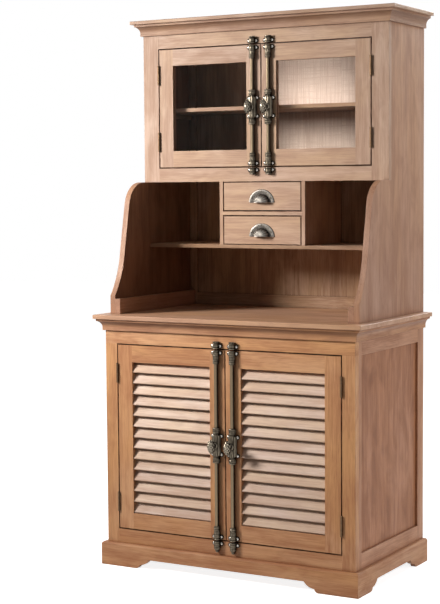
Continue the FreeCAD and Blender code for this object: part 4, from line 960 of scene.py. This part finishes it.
def make_hinges(brass):
    leaf, swing, fixed = Shape(), Shape(), Shape()
    leaf.add(plate(*FRAME_LEAF, 0, 3 * THIRD, LEAF_FRONT))
    for low, high in ((0, THIRD), (2 * THIRD, 3 * THIRD)):
        leaf.add(barrel(low, high, KNUCKLE))
        leaf.add(plate(*FRAME_LEAF, low, high))
    leaf.add(barrel(THIRD - 1, 2 * THIRD + 1, PIN))
    low, high = THIRD + PLAY, 2 * THIRD - PLAY
    swing.add(plate(*DOOR_LEAF, 0, 3 * THIRD, LEAF_FRONT))
    swing.add(plate(*DOOR_LEAF, low, high))
    swing.add(barrel(low, high, KNUCKLE, PIN_BORE))
    for door, facts in DOORS.items():
        hung = Shape()
        for foot in facts["hinges"]:
            for _, sign in SIDES:
                fixed.add(leaf, across=sign * facts["hinge_axis"] * MM, out=-facts["face"] * MM,
                          up=foot * MM, side=sign)
            hung.add(swing, up=foot * MM)
        for side, sign in SIDES:
            hung.build(f"{door}_hinge_knuckles_{side}", f"{door}_{side}", "hinge_metal", (brass,),
                       [f"{door}_hinge_leaves_{side}"], (facts["hinge_axis"], facts["face"], 0), sign)
    fixed.build("hinge_frame_knuckles", "case", "hinge_metal", (brass,), ["hinge_frame_leaves"], (0, 0, 0))


# ---------------------------------------------------------------- light and floor

FLOOR_REACH = 14.0              # from its middle to its edge
FLOOR_GREY = (0.86, 0.86, 0.86, 1.0)
NEAR_WHITE = (0.75, 1.9)        # how far off the floor starts to whiten, and is white


def make_world():
    """A world that lights the object a little, and shows sight and reflections a white one."""
    scene.world = bpy.data.worlds.new("studio")
    g = Graph(scene.world, "Background", "World Output")
    g.shade({"Color": (1.0, 0.985, 0.97, 1.0), "Strength": 0.06})
    white = g.add("ShaderNodeBackground", {"Color": WHITE, "Strength": 1.0})
    mix = g.add("ShaderNodeMixShader", {0: g.seen(), 1: g.shader.outputs[0], 2: white.outputs[0]})
    g.put(g.output.inputs["Surface"], mix.outputs[0])


def lamp(name, where, towards, size, power, colour):
    """A square lamp that faces a point."""
    data = bpy.data.lights.new(name, "AREA")
    data.shape = "SQUARE"
    data.size = size
    data.energy = power
    data.color = colour
    item = bpy.data.objects.new(name, data)
    item.location = where
    item.rotation_euler = (Vector(towards) - Vector(where)).to_track_quat("-Z", "Y").to_euler()
    scene.collection.objects.link(item)
    return item


def light_scene():
    """A key lamp from the upper left, a fill on the right, one behind, and a small one inside the
    cabinet, which the camera doesn't see."""
    scene.view_settings.view_transform = "Standard"
    make_world()
    key = lamp("key", (-2.62, -2.20, 2.36), (-0.1, 0.0, 1.30), 0.85, 37.0, (1.0, 0.97, 0.935))
    key.data.spread = math.radians(80)
    inside = lamp("cabinet", (0.06, 0.075, 1.945), (0.06, 0.337, 1.875), 0.32, 0.18, (1.0, 0.97, 0.94))
    inside.data.shape = "RECTANGLE"
    inside.data.size_y = 0.05
    inside.data.spread = math.radians(110)
    inside.visible_camera = inside.visible_glossy = False
    lamp("rear", (0.6, 3.6, 3.4), (0.0, 0.3, 1.3), 2.0, 120.0, (1.0, 0.985, 0.97))
    lamp("fill", (4.2, 0.5, 1.6), (0.5, 0.1, 1.2), 2.0, 51.0, (1.0, 0.98, 0.96))


def lay_floor():
    mesh = bpy.data.meshes.new("floor")
    corners = [(x * FLOOR_REACH, y * FLOOR_REACH, 0) for x, y in ((-1, -1), (1, -1), (1, 1), (-1, 1))]
    mesh.from_pydata(corners, [], [(0, 1, 2, 3)])
    floor = bpy.data.objects.new("floor", mesh)
    scene.collection.objects.link(floor)
    g = Graph(bpy.data.materials.new("floor_paint"))
    away = g.add("ShaderNodeVectorMath", {0: g.vector(*g.place())}, operation="LENGTH").outputs["Value"]
    white = g.stretch(away, *NEAR_WHITE, FLOOR_GREY[0], 1.0)
    g.shade({"Base Color": FLOOR_GREY, "Roughness": 0.8, "Specular IOR Level": 0.0,
             "Emission Color": WHITE, "Emission Strength": g.math("MULTIPLY", g.seen(), white)})
    mesh.materials.append(g.owner)


# ---------------------------------------------------------------- all of it

place_camera()
light_scene()
lay_floor()
make_woods()
# each metal's light, middle and dark colour, its roughness, and what else it has of its own
bronze = metal("aged_bronze", srgb(118, 109, 95), srgb(54, 47, 38), srgb(11, 8, 6), 0.32,
               (0.56, 0.22, 0.22), (0.475, 0.525))
relief = metal("knob_bronze", srgb(156, 146, 130), srgb(58, 50, 41), srgb(8, 6, 5), 0.22,
               (0.52, 0.12, 0.36), (0.485, 0.52), (0.66, 0.985))
# the rods' light and dark come mostly from the painted light on what faces out
rods = metal("rod_bronze", srgb(124, 109, 88), srgb(64, 52, 40), srgb(20, 14, 9), 0.30, (0.06, 0.14, 0.80))
steel = metal("worn_steel", srgb(206, 201, 193), srgb(150, 144, 136), srgb(34, 29, 25), 0.20)
lugs = metal("black_bronze", srgb(84, 76, 64), srgb(42, 36, 29), srgb(12, 9, 7), 0.30)
pewter = metal("aged_pewter", srgb(126, 121, 114), srgb(78, 73, 68), srgb(20, 17, 15), 0.38,
               (0.40, 0.28, 0.32))
brass = metal("dull_brass", srgb(112, 88, 66), srgb(70, 54, 42), srgb(24, 18, 14), 0.40)
glass = pane_glass()
for name in nodes:
    if "_rod_" in name:
        dress(name, rods)
    elif "glass" in name:
        dress(name, glass)
make_bolts((bronze, steel, lugs), relief)
make_pulls((pewter, lugs))
make_hinges(brass)
